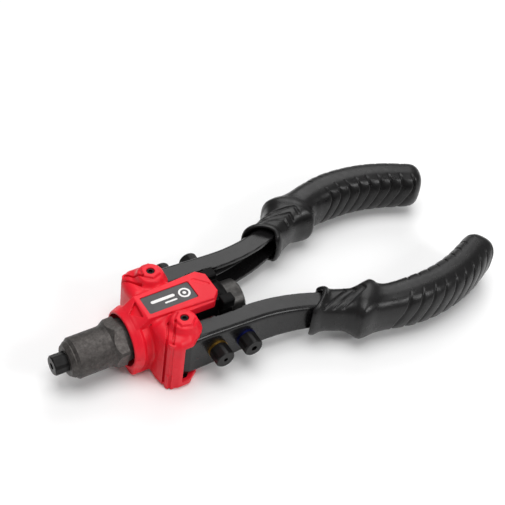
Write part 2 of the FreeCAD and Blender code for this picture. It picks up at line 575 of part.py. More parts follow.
def cover_shape(z_sign):
    """One moulded shell, with its screw posts."""
    gap, big = dim("split_gap"), 400
    half_space = Part.makeBox(big, big, big, V(-100, -big / 2, gap if z_sign > 0 else -big - gap))
    shell = cover_outside(z_sign).cut(cover_room(z_sign)).common(half_space)
    inner = dim("cheek_high") + 0.2
    for side in (-1, 1):
        centre = V(dim("post_x"), side * dim("post_y"), z_sign * gap)
        post = Part.makeCylinder(dim("post_radius"), inner + 0.5 - gap, centre, V(0, 0, z_sign))
        shell = shell.fuse(post)
        hole = Part.makeCylinder(dim("screw_radius"), 13, centre, V(0, 0, z_sign))
        if z_sign < 0:
            hole = Part.makeCylinder(dim("screw_radius") + 0.2, 40, centre, V(0, 0, -1))
            sink = V(dim("post_x"), side * dim("post_y"), -dim("cover_top") - 1)
            hole = hole.fuse(Part.makeCylinder(dim("screw_head_radius") + 0.2, dim("screw_head") + 1, sink))
            low = V(dim("tail_screw_x"), side * dim("tail_screw_y"), -dim("cover_top") - 1)
            head_room = Part.makeCylinder(dim("screw_head_radius") + 0.2, dim("screw_head") + 1, low)
            hole = hole.fuse([Part.makeCylinder(dim("screw_radius") + 0.2, 10, low), head_room])
        shell = shell.cut(hole)
    if z_sign > 0:
        depth = dim("label_thickness")
        seat = Part.makeBox(dim("label_rear") - dim("label_front"), 2 * dim("label_half_width"), 10,
                            V(dim("label_front"), -dim("label_half_width"), dim("label_top") - depth))
        rear = dim("platform_front") + 0.6
        triangle = prism([(dim("ring_rear") - 1.0, 1.5), (rear, -5.6), (rear, 7.6)],
                         dim("ring_radius") - 0.6, dim("platform_top") + 1)
        shell = shell.cut([seat, triangle])
    solids = sorted(shell.Solids, key=lambda solid: -solid.Volume)
    return solids[0]


def build_covers():
    keep("cover_upper", shaped("cover_upper_body", cover_shape(1)))
    keep("cover_lower", shaped("cover_lower_body", cover_shape(-1)))
    keep("label_plate", label_plate())
    long_screws, short_screws = [], []
    for side, sign in (("left", "0 - "), ("right", "")):
        long_screws.append(screw(f"{side}_cover_screw", "post_x", f"{sign}post_y", "cover_top + 11"))
        short_screws.append(screw(f"{side}_tail_screw", "tail_screw_x", f"{sign}tail_screw_y",
                                  "cover_top - cheek_high + 5.5"))
    keep("cover_screws", grouped("cover_screws_body", long_screws))
    keep("tail_screws", grouped("tail_screws_body", short_screws))


def screw(name, x, y, length):
    """Pan-head screw driven upward, its head sunk just inside the lower shell."""
    head = cylinder(f"{name}_head", "screw_head_radius", "screw_head - 0.3", x=x, y=y,
                    z="0 - cover_top + 0.3")
    shank = cylinder(f"{name}_shank", "screw_radius", length, x=x, y=y, z="0 - cover_top + 0.3")
    recess = hexagon(f"{name}_recess", "2.2", "1.2", x=x, y=y, z="0 - cover_top")
    return cut(name, fused(f"{name}_stock", [head, shank]), recess)


def label_plate():
    plate = padded("label_blank", [
        ("label_front", "0 - label_half_width + label_corner"),
        ("label_front + label_corner", "0 - label_half_width"),
        ("label_rear - label_corner", "0 - label_half_width"),
        ("label_rear", "0 - label_half_width + label_corner"),
        ("label_rear", "label_half_width - label_corner"),
        ("label_rear - label_corner", "label_half_width"),
        ("label_front + label_corner", "label_half_width"),
        ("label_front", "label_half_width - label_corner")],
        "label_thickness")
    plate.Placement = FreeCAD.Placement(V(0, 0, dim("label_top") - dim("label_thickness")),
                                        FreeCAD.Rotation())
    return plate


# ---------------------------------------------------------------- arms and grips
def arm_runs():
    """Centre line of the right arm from the pivot: (kind, length, signed radius) for each run."""
    bend = math.radians(dim("arm_bend_angle"))
    outward = dim("arm_bend_radius") + dim("arm_width") / 2
    inward = dim("grip_curve_radius")
    return [("line", dim("arm_straight_end") - dim("pivot_x"), 0), ("arc", outward * bend, outward),
            ("line", dim("arm_lead"), 0), ("arc", inward * 2 * bend, -inward),
            ("line", dim("grip_end_run"), 0)]


def arm_point(distance, offset=0.0):
    """Point of the right arm's plan at a distance along its centre line, offset outward, and heading."""
    x, y, heading = dim("pivot_x"), dim("arm_web") - dim("arm_width") / 2, 0.0
    left = distance
    for kind, length, radius in arm_runs():
        step = min(left, length)
        if kind == "line":
            x, y = x + step * math.cos(heading), y + step * math.sin(heading)
        else:
            turned_by = step / radius
            x += radius * (math.sin(heading + turned_by) - math.sin(heading))
            y -= radius * (math.cos(heading + turned_by) - math.cos(heading))
            heading += turned_by
        left -= step
        if left <= 0:
            break
    return V(x - offset * math.sin(heading), y + offset * math.cos(heading), 0), heading


def arm_strip(inner, outer, start, end, z0, z1):
    """Solid that follows the arm's plan between two offsets from its centre line."""
    stations = [start]
    total = 0.0
    for _, length, _ in arm_runs():
        total += length
        if start < total < end:
            stations.append(total)
    stations.append(end)

    def run_edges(offset):
        edges = []
        for a, b in zip(stations, stations[1:]):
            first, middle, last = (arm_point(s, offset)[0] for s in (a, (a + b) / 2, b))
            straight = abs((middle - first).cross(last - first).z) < 1e-6
            edges.append(Part.LineSegment(first, last) if straight else Part.Arc(first, middle, last))
        return [edge.toShape() for edge in edges]

    sides = run_edges(outer) + run_edges(inner)
    ends = [Part.LineSegment(arm_point(s, inner)[0], arm_point(s, outer)[0]).toShape()
            for s in (start, end)]
    wire = Part.Wire(Part.__sortEdges__(sides + ends))
    face = Part.Face(wire)
    face.translate(V(0, 0, z0))
    return face.extrude(V(0, 0, z1 - z0))


def arm_side_profile(inset):
    """Tapering side view of the arm, as a prism right across it."""
    start, end = dim("arm_taper_start"), dim("arm_taper_end")
    high, low = dim("arm_half_height") - inset, dim("arm_tip_half_height") - inset
    upper = [(40, high), (start, high), (end, low), (320, low)]
    points = [V(x, 0, z) for x, z in upper] + [V(x, 0, -z) for x, z in reversed(upper)]
    return Part.Face(Part.makePolygon(points + points[:1])).extrude(V(0, 90, 0))


def run_length(count=None):
    """Length of the arm's centre line over its first runs, or over all of them."""
    return sum(run[1] for run in arm_runs()[:count])


def tang_length():
    """Length of the centre line from the pivot to the end of the tang inside the grip."""
    return run_length(3) + dim("grip_curve_radius") * math.radians(dim("tang_sweep"))


def arm_channel_shape():
    """Pressed channel of the right arm: web outside, flanges above and below, round front ears."""
    half, sheet_metal, tall = dim("arm_width") / 2, dim("arm_sheet"), dim("arm_half_height")
    px, py = dim("pivot_x"), dim("pivot_y")
    ear = dim("arm_web") - py
    tang_end = tang_length()
    strip = arm_strip(-half, half, 0, tang_end, -tall, tall)
    front = Part.makeCylinder(ear, 2 * tall, V(px, py, -tall), Z_AXIS)
    outside = strip.fuse(front).common(arm_side_profile(0)).removeSplitter()
    room = arm_strip(-half - 4, half - sheet_metal, 0, tang_end + 1, -tall, tall)
    room = room.fuse(Part.makeBox(2 * ear + 2, 3 * ear - sheet_metal, 2 * tall,
                                  V(px - ear - 1, py - 2 * ear, -tall)))
    room = room.common(arm_side_profile(sheet_metal))
    channel = outside.cut(room)
    relief = Part.makeBox(dim("arm_relief_end") - dim("arm_relief_start"), 2.0, 2 * tall,
                          V(dim("arm_relief_start"), dim("arm_relief_y") - 2.0, -tall))
    bolt_room = Part.makeCylinder(dim("bush_radius"), 2 * tall, V(px, py, -tall), Z_AXIS)
    tools = [bolt_room, relief] + pin_solids(tall + 1)
    for x in (dim("spare_front_x"), dim("spare_rear_x")):
        tools.append(Part.makeCylinder(dim("nosepiece_thread"), 10, V(x, dim("arm_web") - 5, 0), Y_AXIS))
    channel = channel.cut(tools)
    solids = sorted(channel.Solids, key=lambda solid: -solid.Volume)
    return solids[0]


def pin_solids(half_length):
    """Three dowels that lock the sector to the ears of the arm."""
    pins = []
    for angle in (0, 180, 290):
        turn = math.radians(angle)
        centre = V(dim("pivot_x") + dim("pin_circle") * math.cos(turn),
                   dim("pivot_y") + dim("pin_circle") * math.sin(turn), -half_length)
        pins.append(Part.makeCylinder(dim("pin_radius"), 2 * half_length, centre, Z_AXIS))
    return pins


def sector_tooth(centre_angle):
    """One involute tooth about the origin, its middle at the given angle in radians."""
    module, alpha = dim("gear_module"), math.radians(dim("pressure_angle"))
    pitch = dim("pitch_radius")
    base = pitch * math.cos(alpha)
    tip = pitch + dim("addendum_factor") * module
    root = pitch - dim("dedendum_factor") * module
    half_at_pitch = (math.pi * module / 2 - dim("gear_backlash") / 2) / (2 * pitch)
    involute = math.tan(alpha) - alpha

    def flank(radius):
        if radius <= base:
            return half_at_pitch + involute
        local = math.acos(base / radius)
        return half_at_pitch + involute - (math.tan(local) - local)

    steps = 6
    radii = [root - 1.0, base] + [base + (tip - base) * k / steps for k in range(1, steps + 1)]

    def flank_points(sign):
        turns = [(r, centre_angle + sign * flank(r)) for r in radii]
        return [V(r * math.cos(turn), r * math.sin(turn), 0) for r, turn in turns]

    rising, falling = flank_points(-1), flank_points(1)

    def side(points):
        curve = Part.BSplineCurve()
        curve.interpolate(points[1:])
        return [Part.LineSegment(points[0], points[1]).toShape(), curve.toShape()]

    crest = V(tip * math.cos(centre_angle), tip * math.sin(centre_angle), 0)
    edges = side(rising) + side(falling)
    edges.append(Part.Arc(rising[-1], crest, falling[-1]).toShape())
    edges.append(Part.LineSegment(rising[0], falling[0]).toShape())
    height = dim("rack_half_thickness")
    face = Part.Face(Part.Wire(Part.__sortEdges__(edges)))
    face.translate(V(0, 0, -height))
    return face.extrude(V(0, 0, 2 * height))


def sector_shape():
    """Toothed sector of the right arm with its boss and the tongue that lies in the channel."""
    px, py, height = dim("pivot_x"), dim("pivot_y"), dim("rack_half_thickness")
    root = dim("pitch_radius") - dim("dedendum_factor") * dim("gear_module")
    step = math.pi * dim("gear_module") / dim("pitch_radius")
    disc = Part.makeCylinder(root, 2 * height, V(0, 0, -height), Z_AXIS)
    teeth = [sector_tooth(-math.pi / 2 - k * step) for k in (-1, 0, 1)]
    boss_half, back = dim("hub_half_height"), dim("hub_back")
    boss = Part.makeCylinder(root, 2 * boss_half, V(0, 0, -boss_half), Z_AXIS)
    tongue = Part.makeBox(dim("hub_tongue"), back + 0.5, 2 * dim("hub_tongue_height"),
                          V(0, -0.5, -dim("hub_tongue_height")))
    solid = disc.fuse(teeth + [boss, tongue])
    solid = solid.common(Part.makeBox(80, 40, 60, V(-40, back - 40, -30)))
    solid.translate(V(px, py, 0))
    bore = Part.makeCylinder(dim("bush_radius"), 60, V(px, py, -30), Z_AXIS)
    return solid.cut([bore] + pin_solids(30)).removeSplitter()


def grip_section(distance, half_width, half_height, rake=0.0):
    """Closed rounded section across the arm's centre line; rake leans its inner side rearward."""
    centre, heading = arm_point(distance)
    ahead = V(math.cos(heading), math.sin(heading), 0)
    across = Z_AXIS.cross(ahead) - ahead * rake
    points = []
    count, power = 24, dim("grip_power")
    for k in range(count):
        angle = 2 * math.pi * k / count
        c, s = math.cos(angle), math.sin(angle)
        u = half_width * math.copysign(abs(c) ** (2 / power), c)
        w = half_height * math.copysign(abs(s) ** (2 / power), s)
        points.append(centre + across * u + V(0, 0, w))
    curve = Part.BSplineCurve()
    curve.interpolate(points, PeriodicFlag=True)
    return Part.Wire(curve.toShape())


def grip_shape():
    """Moulded grip of the right arm: mouth lip, collar, guard, palm swell and domed end."""
    start = dim("grip_start")
    end = run_length()
    guard = run_length(3) + 2.0
    # distance, half width, half height, rake
    stations = [(start, 11.6, 14.2, 0.38), (start + 2.5, 12.2, 15.0, 0.38), (start + 7.5, 11.1, 13.2, 0.36),
                (guard - 8.5, 11.6, 13.2, 0.28), (guard - 3.0, 14.6, 15.2, 0.26),
                (guard + 1.5, 16.8, 16.3, 0.26),
                (guard + 5.0, 15.4, 15.9, 0.24), (guard + 12.0, 12.0, 14.8, 0.17), (guard + 28.0, 12.2, 15.7),
                (guard + 55.0, 12.4, 16.0), (guard + 82.0, 12.2, 15.6), (end - 12.0, 11.6, 14.8),
                (end - 4.0, 10.2, 13.0), (end - 0.9, 7.6, 10.0)]
    sections = [grip_section(*station) for station in stations]
    solid = Part.makeLoft(sections, True, False)
    half = dim("arm_width") / 2
    tang_end = tang_length()
    tang = arm_strip(-half, half, start - 6, tang_end, -40, 40).common(arm_side_profile(0))
    return solid.cut(tang)


def build_arms():
    arm = keep("arm_right", shaped("arm_right_body", arm_channel_shape()))
    sector = keep("sector_right", shaped("sector_right_body", sector_shape()))
    grip = keep("grip_right", shaped("grip_right_body", grip_shape()))
    pins = keep("sector_pins_right", shaped("sector_pins_right_body",
                                            Part.makeCompound(pin_solids(dim("arm_half_height")))))
    outer = cylinder("bush_right_outer", "bush_radius", "2 * bush_half_length", x="pivot_x", y="pivot_y",
                     z="0 - bush_half_length")
    inner = cylinder("bush_right_inner", "bush_bore", "2 * bush_half_length + 2", x="pivot_x", y="pivot_y",
                     z="0 - bush_half_length - 1")
    bush = keep("pivot_bush_right", cut("bush_right_body", outer, inner))
    for label, source in (("arm_left", arm), ("sector_left", sector), ("grip_left", grip),
                          ("sector_pins_left", pins), ("pivot_bush_left", bush)):
        keep(label, mirrored(f"{label}_body", source))


def washer(name, radius, height):
    """Round ring about the X axis that the thread of a stored nosepiece passes through."""
    return turned(name, [("0", "nosepiece_thread"), ("0", radius), (height, radius),
                         (height, "nosepiece_thread")])


def build_spares():
    """Stored nosepieces, screwed through the webs into round weld nuts, each over a coloured ring."""
    bores = {"right_front": "1.2", "right_rear": "1.6", "left_front": "1.4", "left_rear": "1.8"}
    for side, sign in (("right", 1), ("left", -1)):
        weld_nuts = []
        for place in ("front", "rear"):
            name = f"{side}_{place}"
            x = dim(f"spare_{place}_x")
            tall = dim("nosepiece_head") + dim("spare_ring_height")
            turn = FreeCAD.Rotation(Z_AXIS, -90 * sign)
            web = dim("arm_web")
            piece = nosepiece(f"spare_{name}_body", bores[name])
            piece.Placement = FreeCAD.Placement(V(x, sign * (web + tall), 0), turn)
            keep(f"spare_nosepiece_{name}", piece)
            ring = washer(f"size_ring_{name}_body", "spare_ring_radius", "spare_ring_height")
            ring.Placement = FreeCAD.Placement(V(x, sign * (web + dim("spare_ring_height")), 0), turn)
            keep(f"size_ring_{name}", ring)
            nut = washer(f"weld_nut_{name}_body", "spare_nut_radius", "spare_nut_height")
            nut.Placement = FreeCAD.Placement(V(x, sign * (web - dim("arm_sheet")), 0), turn)
            weld_nuts.append(nut)
        keep(f"weld_nuts_{side}", grouped(f"weld_nuts_{side}_body", weld_nuts))


def check_and_export():
    doc.recompute()
    failed = [item.Name for item in doc.Objects if {"Invalid", "Error"} & set(item.State)]
    if failed:
        raise RuntimeError(f"objects that failed to build: {failed}")
    os.makedirs("parts", exist_ok=True)
    for label, item in SUBPARTS.items():
        shape = item.Shape
        if shape.isNull() or not shape.isValid() or shape.Volume <= 0:
            raise RuntimeError(f"{label} has no valid solid")
        bounds = shape.BoundBox
        print(f"{label:28s} solids {len(shape.Solids)}  volume {shape.Volume:9.1f}  "
              f"x {bounds.XMin:6.1f} {bounds.XMax:6.1f}  y {bounds.YMin:6.1f} {bounds.YMax:6.1f}  "
              f"z {bounds.ZMin:6.1f} {bounds.ZMax:6.1f}")
        shape.exportStep(f"parts/{label}.step")


build_nose()
build_jaws()
build_head()
build_pivots()
build_covers()
build_arms()
build_spares()
check_and_export()
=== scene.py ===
"""Hand riveter with two long arms: moulded covers, pressed arms, rubber grips, studio and camera."""
import math

import bpy
import numpy as np
from mathutils import Euler, Matrix, Vector


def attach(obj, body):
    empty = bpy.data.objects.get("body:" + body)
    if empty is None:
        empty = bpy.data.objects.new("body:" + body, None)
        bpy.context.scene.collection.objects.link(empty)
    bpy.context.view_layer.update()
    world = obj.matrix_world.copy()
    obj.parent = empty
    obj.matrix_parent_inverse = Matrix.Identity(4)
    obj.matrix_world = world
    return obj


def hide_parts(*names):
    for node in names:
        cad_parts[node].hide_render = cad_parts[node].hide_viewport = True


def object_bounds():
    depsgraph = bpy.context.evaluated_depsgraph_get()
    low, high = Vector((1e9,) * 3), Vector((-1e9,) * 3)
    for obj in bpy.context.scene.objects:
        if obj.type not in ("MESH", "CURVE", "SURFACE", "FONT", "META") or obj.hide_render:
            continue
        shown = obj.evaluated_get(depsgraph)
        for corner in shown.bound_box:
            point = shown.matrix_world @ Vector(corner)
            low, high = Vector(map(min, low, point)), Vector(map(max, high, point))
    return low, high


MM = 0.001
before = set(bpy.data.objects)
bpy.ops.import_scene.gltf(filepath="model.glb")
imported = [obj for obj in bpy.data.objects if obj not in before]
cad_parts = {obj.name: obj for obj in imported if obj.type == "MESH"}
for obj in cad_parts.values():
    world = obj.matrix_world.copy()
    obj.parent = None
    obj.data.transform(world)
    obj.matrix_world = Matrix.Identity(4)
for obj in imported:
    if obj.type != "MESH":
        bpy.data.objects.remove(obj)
cad_box = [list(corner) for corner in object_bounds()]

# millimetres from here on: X runs from the nosepiece to the grips, Z is up, the right arm is at +Y
PIVOT_X, PIVOT_Y = 73.0, 20.4
ARM_HALF_WIDTH, ARM_SHEET, ARM_LINE_Y = 6.6, 2.8, 23.8
# the arm's centre line from the pivot: length and signed radius of each run, 0 for a straight one
ARM_RUNS = [(45.0, 0.0), (50.94, 121.6), (19.2, 0.0), (90.48, -108.0), (21.5, 0.0)]
GRIP_START, GRIP_END = 86.0, sum(run[0] for run in ARM_RUNS) - 1.6
GUARD = sum(run[0] for run in ARM_RUNS[:3]) + 2.0
TANG_END = 171.0


# ------------------------------------------------------------------ distance fields
def smooth_min(a, b, radius):
    """Union of two distance fields, with a fillet of about that radius between them."""
    blend = np.clip(0.5 + 0.5 * (b - a) / radius, 0.0, 1.0)
    return b + (a - b) * blend - radius * blend * (1.0 - blend)


def smooth_max(a, b, radius):
    """Overlap of two distance fields, with its edge rounded by about that radius."""
    return -smooth_min(-a, -b, radius)


def rounded_extrusion(plan, height, rounding):
    """Distance to a plan shape, given its plan distance and the height distance, with rounded rims."""
    a, b = plan + rounding, height + rounding
    return np.minimum(np.maximum(a, b), 0) + np.hypot(np.maximum(a, 0), np.maximum(b, 0)) - rounding


def rectangle(x, y, x0, x1, y0, y1, rounding=0.0):
    """Distance in the plane to a rectangle with rounded corners."""
    a = np.abs(x - (x0 + x1) / 2) - (x1 - x0) / 2
    b = np.abs(y - (y0 + y1) / 2) - (y1 - y0) / 2
    return rounded_extrusion(a, b, rounding)


def polygon(x, y, corners):
    """Distance in the plane to a closed polygon."""
    best = np.full(np.broadcast(x, y).shape, 1e9)
    inside = np.zeros(best.shape, bool)
    for (ax, ay), (bx, by) in zip(corners, corners[1:] + corners[:1]):
        ex, ey, px, py = bx - ax, by - ay, x - ax, y - ay
        t = np.clip((px * ex + py * ey) / (ex * ex + ey * ey), 0, 1)
        best = np.minimum(best, (px - ex * t) ** 2 + (py - ey * t) ** 2)
        if ay != by:
            inside ^= ((ay > y) != (by > y)) & (px < ex * py / ey)
    return np.where(inside, -1, 1) * np.sqrt(best)


def segment(x, y, a, b):
    """Distance in the plane to a straight segment."""
    ex, ey = b[0] - a[0], b[1] - a[1]
    t = np.clip(((x - a[0]) * ex + (y - a[1]) * ey) / (ex * ex + ey * ey), 0, 1)
    return np.hypot(x - a[0] - ex * t, y - a[1] - ey * t)


def rod(x, y, z, a, b, radius_a, radius_b):
    """Distance to a round-ended rod in space that tapers from one end to the other."""
    axis = [q - p for p, q in zip(a, b)]
    offset = [v - p for v, p in zip((x, y, z), a)]
    t = np.clip(sum(o * e for o, e in zip(offset, axis)) / sum(e * e for e in axis), 0, 1)
    square = sum((o - e * t) ** 2 for o, e in zip(offset, axis))
    return np.sqrt(square) - (radius_a + (radius_b - radius_a) * t)


def hexagon(x, y, flats):
    """Distance in the plane to a hexagon with corners on the X axis."""
    ax, ay = np.abs(x), np.abs(y)
    return np.maximum(ay, ax * math.cos(math.pi / 6) + ay * 0.5) - flats / 2


def surface_mesh(field, low, high, step):
    """Points and quads of the zero surface of a distance field, one point to a grid cell."""
    axes = [np.arange(a, b + step, step) for a, b in zip(low, high)]
    value = field(*np.meshgrid(*axes, indexing="ij"))
    sign = value < 0
    shape = tuple(n - 1 for n in value.shape)
    total, weight = np.zeros(shape + (3,)), np.zeros(shape)
    for axis in range(3):
        others = [k for k in range(3) if k != axis]
        for corner in ((0, 0), (0, 1), (1, 0), (1, 1)):
            first = [0, 0, 0]
            first[others[0]], first[others[1]] = corner
            last = list(first)
            last[axis] = 1
            a, b = (value[i:i + shape[0], j:j + shape[1], k:k + shape[2]] for i, j, k in (first, last))
            cross = (a < 0) != (b < 0)
            part = a / np.where(cross, a - b, 1)
            for k, share in ((others[0], corner[0]), (others[1], corner[1]), (axis, part)):
                total[..., k] += np.where(cross, share, 0)
            weight += cross
    used = weight > 0
    index = np.full(shape, -1, np.int64)
    index[used] = np.arange(int(used.sum()))
    points = (np.argwhere(used) + total[used] / weight[used][:, None]) * step + np.array(low)
    quads = []
    for axis in range(3):
        u, v = [(1, 2), (2, 0), (0, 1)][axis]
        head, tail = [slice(None)] * 3, [slice(None)] * 3
        head[axis], tail[axis] = slice(None, -1), slice(1, None)
        where = np.argwhere(sign[tuple(head)] != sign[tuple(tail)])
        inside = [(where[:, k] > 0) & (where[:, k] < shape[k]) for k in (u, v)]
        where = where[inside[0] & inside[1]]
        rising = sign[tuple(where.T)]
        ring = []
        for du, dv in ((-1, -1), (0, -1), (0, 0), (-1, 0)):
            cell = where.copy()
            cell[:, u] += du
            cell[:, v] += dv
            ring.append(index[tuple(cell.T)])
        ring = np.stack(ring, 1)
        ring[~rising] = ring[~rising][:, ::-1]
        quads.append(ring)
    for _ in range(4):
        points = settle(field, points, step)
    return points, np.concatenate(quads)


def settle(field, points, step):
    """Move points along the field's slope on to its zero surface, by at most half a cell."""
    small = step * 0.05
    x, y, z = points.T
    here = field(x, y, z)
    slope = np.stack([field(x + small, y, z) - field(x - small, y, z),
                      field(x, y + small, z) - field(x, y - small, z),
                      field(x, y, z + small) - field(x, y, z - small)], 1) / (2 * small)
    shift = -slope * (here / np.maximum((slope ** 2).sum(1), 0.25))[:, None]
    length = np.linalg.norm(shift, axis=1, keepdims=True)
    return points + shift * np.minimum(1, 0.5 * step / np.maximum(length, 1e-9))


# ------------------------------------------------------------------ pieces
def add_piece(name, points, faces, material, body, nodes=(), sharp=50):
    """A smooth-shaded piece from points in millimetres, riding on its body in place of CAD nodes."""
    mesh = bpy.data.meshes.new(name)
    if isinstance(faces, np.ndarray):
        faces = faces.tolist()
    mesh.from_pydata((np.asarray(points) * MM).tolist(), [], faces)
    mesh.validate()
    mesh.shade_smooth()
    mesh.set_sharp_from_angle(angle=math.radians(sharp))
    mesh.materials.append(material)
    piece = bpy.data.objects.new(name, mesh)
    bpy.context.scene.collection.objects.link(piece)
    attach(piece, body)
    if nodes:
        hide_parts(*nodes)
    return piece


def add_pair(stem, points, faces, material, node, sharp=50):
    """The right arm's piece and its mirror image on the left arm."""
    faces = np.asarray(faces)
    for side, sign in (("right", 1), ("left", -1)):
        add_piece(f"{stem}_{side}", points * np.array([1, sign, 1]), faces[:, ::sign], material,
                  f"arm_{side}", (f"{node}_{side}",), sharp)


def arm_place(distance, offset, z):
    """Points of the right arm from distance along its centre line, offset outward and height."""
    x, y = np.full(np.shape(distance), PIVOT_X), np.full(np.shape(distance), ARM_LINE_Y)
    heading, left = np.zeros(np.shape(distance)), np.array(distance, float)
    for number, (length, radius) in enumerate(ARM_RUNS):
        step = np.clip(left, -50.0 if number == 0 else 0.0, length)
        if radius:
            after = heading + step / radius
            x = x + radius * (np.sin(after) - np.sin(heading))
            y = y - radius * (np.cos(after) - np.cos(heading))
            heading = after
        else:
            x, y = x + step * np.cos(heading), y + step * np.sin(heading)
        left = left - step
    return np.stack([x - offset * np.sin(heading), y + offset * np.cos(heading), z], -1)


# ------------------------------------------------------------------ materials
class Material:
    """A Principled material whose colour, roughness and bump come from procedural nodes."""

    def __init__(self, name, metallic=0.0, specular=0.5, coat=0.0, coat_roughness=0.1):
        self.data = bpy.data.materials.new(name)
        self.data.use_nodes = True
        self.nodes, self.links = self.data.node_tree.nodes, self.data.node_tree.links
        self.shader = self.nodes["Principled BSDF"]
        self.shader.inputs["Metallic"].default_value = metallic
        self.shader.inputs["Specular IOR Level"].default_value = specular
        self.shader.inputs["Coat Weight"].default_value = coat
        self.shader.inputs["Coat Roughness"].default_value = coat_roughness
        self.place = self.nodes.new("ShaderNodeTexCoord").outputs["Object"]
        self.normal = None

    def noise(self, size_mm, detail=3.0, rough=0.55, stretch=None):
        """Noise whose features are about that many millimetres across."""
        place = self.place
        if stretch:
            mapping = self.nodes.new("ShaderNodeMapping")
            mapping.inputs["Scale"].default_value = stretch
            self.links.new(place, mapping.inputs["Vector"])
            place = mapping.outputs["Vector"]
        noise = self.nodes.new("ShaderNodeTexNoise")
        noise.inputs["Scale"].default_value = 1.0 / (size_mm * MM)
        noise.inputs["Detail"].default_value = detail
        noise.inputs["Roughness"].default_value = rough
        self.links.new(place, noise.inputs["Vector"])
        return noise.outputs["Fac"]

    def cells(self, size_mm):
        """Cell pattern for moulded leather-like grain."""
        cells = self.nodes.new("ShaderNodeTexVoronoi")
        cells.inputs["Scale"].default_value = 1.0 / (size_mm * MM)
        self.links.new(self.place, cells.inputs["Vector"])
        return cells.outputs["Distance"]

    def ramp(self, factor, stops):
        """Colour ramp through stops of (place, linear RGB), driven by the factor."""
        ramp = self.nodes.new("ShaderNodeValToRGB")
        elements = ramp.color_ramp.elements
        while len(elements) < len(stops):
            elements.new(0.5)
        for element, (place, colour) in zip(elements, stops):
            element.position = place
            element.color = (*colour, 1.0)
        self.links.new(factor, ramp.inputs["Fac"])
        return ramp.outputs["Color"]

    def colour(self, factor, stops):
        """Base colour from a ramp."""
        self.links.new(self.ramp(factor, stops), self.shader.inputs["Base Color"])
        return self

    def flat_faces(self, low_mm, high_mm, angles):
        """One on the flats about the X axis that lie that far out, at the angles given above the -Y side."""
        reach = None
        for angle in angles:
            turn = math.radians(angle)
            along = self.nodes.new("ShaderNodeVectorMath")
            along.operation = "DOT_PRODUCT"
            along.inputs[1].default_value = (0.0, -math.cos(turn), math.sin(turn))
            self.links.new(self.place, along.inputs[0])
            size = self.nodes.new("ShaderNodeMath")
            size.operation = "ABSOLUTE"
            self.links.new(along.outputs["Value"], size.inputs[0])
            if reach is None:
                reach = size.outputs["Value"]
                continue
            most = self.nodes.new("ShaderNodeMath")
            most.operation = "MAXIMUM"
            self.links.new(reach, most.inputs[0])
            self.links.new(size.outputs["Value"], most.inputs[1])
            reach = most.outputs["Value"]
        spread = self.nodes.new("ShaderNodeMapRange")
        spread.inputs["From Min"].default_value = low_mm * MM
        spread.inputs["From Max"].default_value = high_mm * MM
        self.links.new(reach, spread.inputs["Value"])
        return spread.outputs["Result"]

    def lighten(self, factor, gain):
        """Multiply the base colour by the gain where the factor is one."""
        link = self.shader.inputs["Base Color"].links[0]
        colour = link.from_socket
        mix = self.nodes.new("ShaderNodeMix")
        mix.data_type, mix.blend_type = "RGBA", "MULTIPLY"
        mix.clamp_result = False
        share, first, second = (mix.inputs[k] for k in (0, 6, 7))
        self.links.new(factor, share)
        self.links.new(colour, first)
        second.default_value = (gain, gain, gain, 1.0)
        self.links.new(mix.outputs[2], self.shader.inputs["Base Color"])
        return self

    def roughness(self, factor, low, high):
        """Roughness that wanders between two values with the factor."""
        spread = self.nodes.new("ShaderNodeMapRange")
        spread.inputs["From Min"].default_value = 0.3
        spread.inputs["From Max"].default_value = 0.7
        spread.inputs["To Min"].default_value = low
        spread.inputs["To Max"].default_value = high
        self.links.new(factor, spread.inputs["Value"])
        self.links.new(spread.outputs["Result"], self.shader.inputs["Roughness"])
        return self

    def bump(self, factor, height_mm):
        """Fine surface relief of that height, laid over any relief added before."""
        bump = self.nodes.new("ShaderNodeBump")
        bump.inputs["Distance"].default_value = height_mm * MM
        bump.inputs["Strength"].default_value = 1.0
        self.links.new(factor, bump.inputs["Height"])
        if self.normal:
            self.links.new(self.normal, bump.inputs["Normal"])
        self.normal = bump.outputs["Normal"]
        self.links.new(self.normal, self.shader.inputs["Normal"])
        return self


def shades(colour, low, high):
    """Two stops of one colour, darker and lighter."""
    return [(0.35, tuple(c * low for c in colour)), (0.65, tuple(c * high for c in colour))]


def moulded_red():
    """Satin red nylon of the covers."""
    m = Material("moulded_red", specular=0.24)
    m.colour(m.noise(18, 2), shades((0.72, 0.0095, 0.024), 0.93, 1.06))
    m.roughness(m.noise(3.0, 3), 0.33, 0.43)
    return m.bump(m.noise(0.9, 2), 0.02).bump(m.noise(9.0, 1), 0.05).data


def painted_black():
    """Gloss black paint of the arms."""
    m = Material("painted_black", specular=0.32)
    m.colour(m.noise(25, 2), shades((0.0065, 0.0062, 0.0065), 0.8, 1.25))
    m.roughness(m.noise(6.0, 2), 0.22, 0.29)
    return m.bump(m.noise(1.6, 1), 0.007).data


def grip_rubber():
    """Black rubber with a fine moulded grain."""
    m = Material("grip_rubber", specular=0.31)
    m.colour(m.noise(14, 3), shades((0.0062, 0.0059, 0.0061), 0.85, 1.3))
    m.roughness(m.noise(4.0, 4), 0.25, 0.37)
    return m.bump(m.cells(0.55), 0.035).bump(m.noise(6.0, 2), 0.05).data


def cast_steel():
    """Dark, mottled steel of the barrel, with brighter flats at its base."""
    m = Material("blasted_steel", metallic=0.55, specular=0.45)
    m.colour(m.noise(2.2, 6, 0.7), [(0.3, (0.034, 0.030, 0.028)), (0.5, (0.058, 0.052, 0.049)),
                                    (0.72, (0.092, 0.084, 0.078))])
    m.roughness(m.noise(1.6, 4), 0.42, 0.60)
    m.lighten(m.flat_faces(13.42, 13.5, [47 + 60 * k for k in range(3)]), 1.5)
    return m.bump(m.noise(0.7, 4, 0.65), 0.05).data


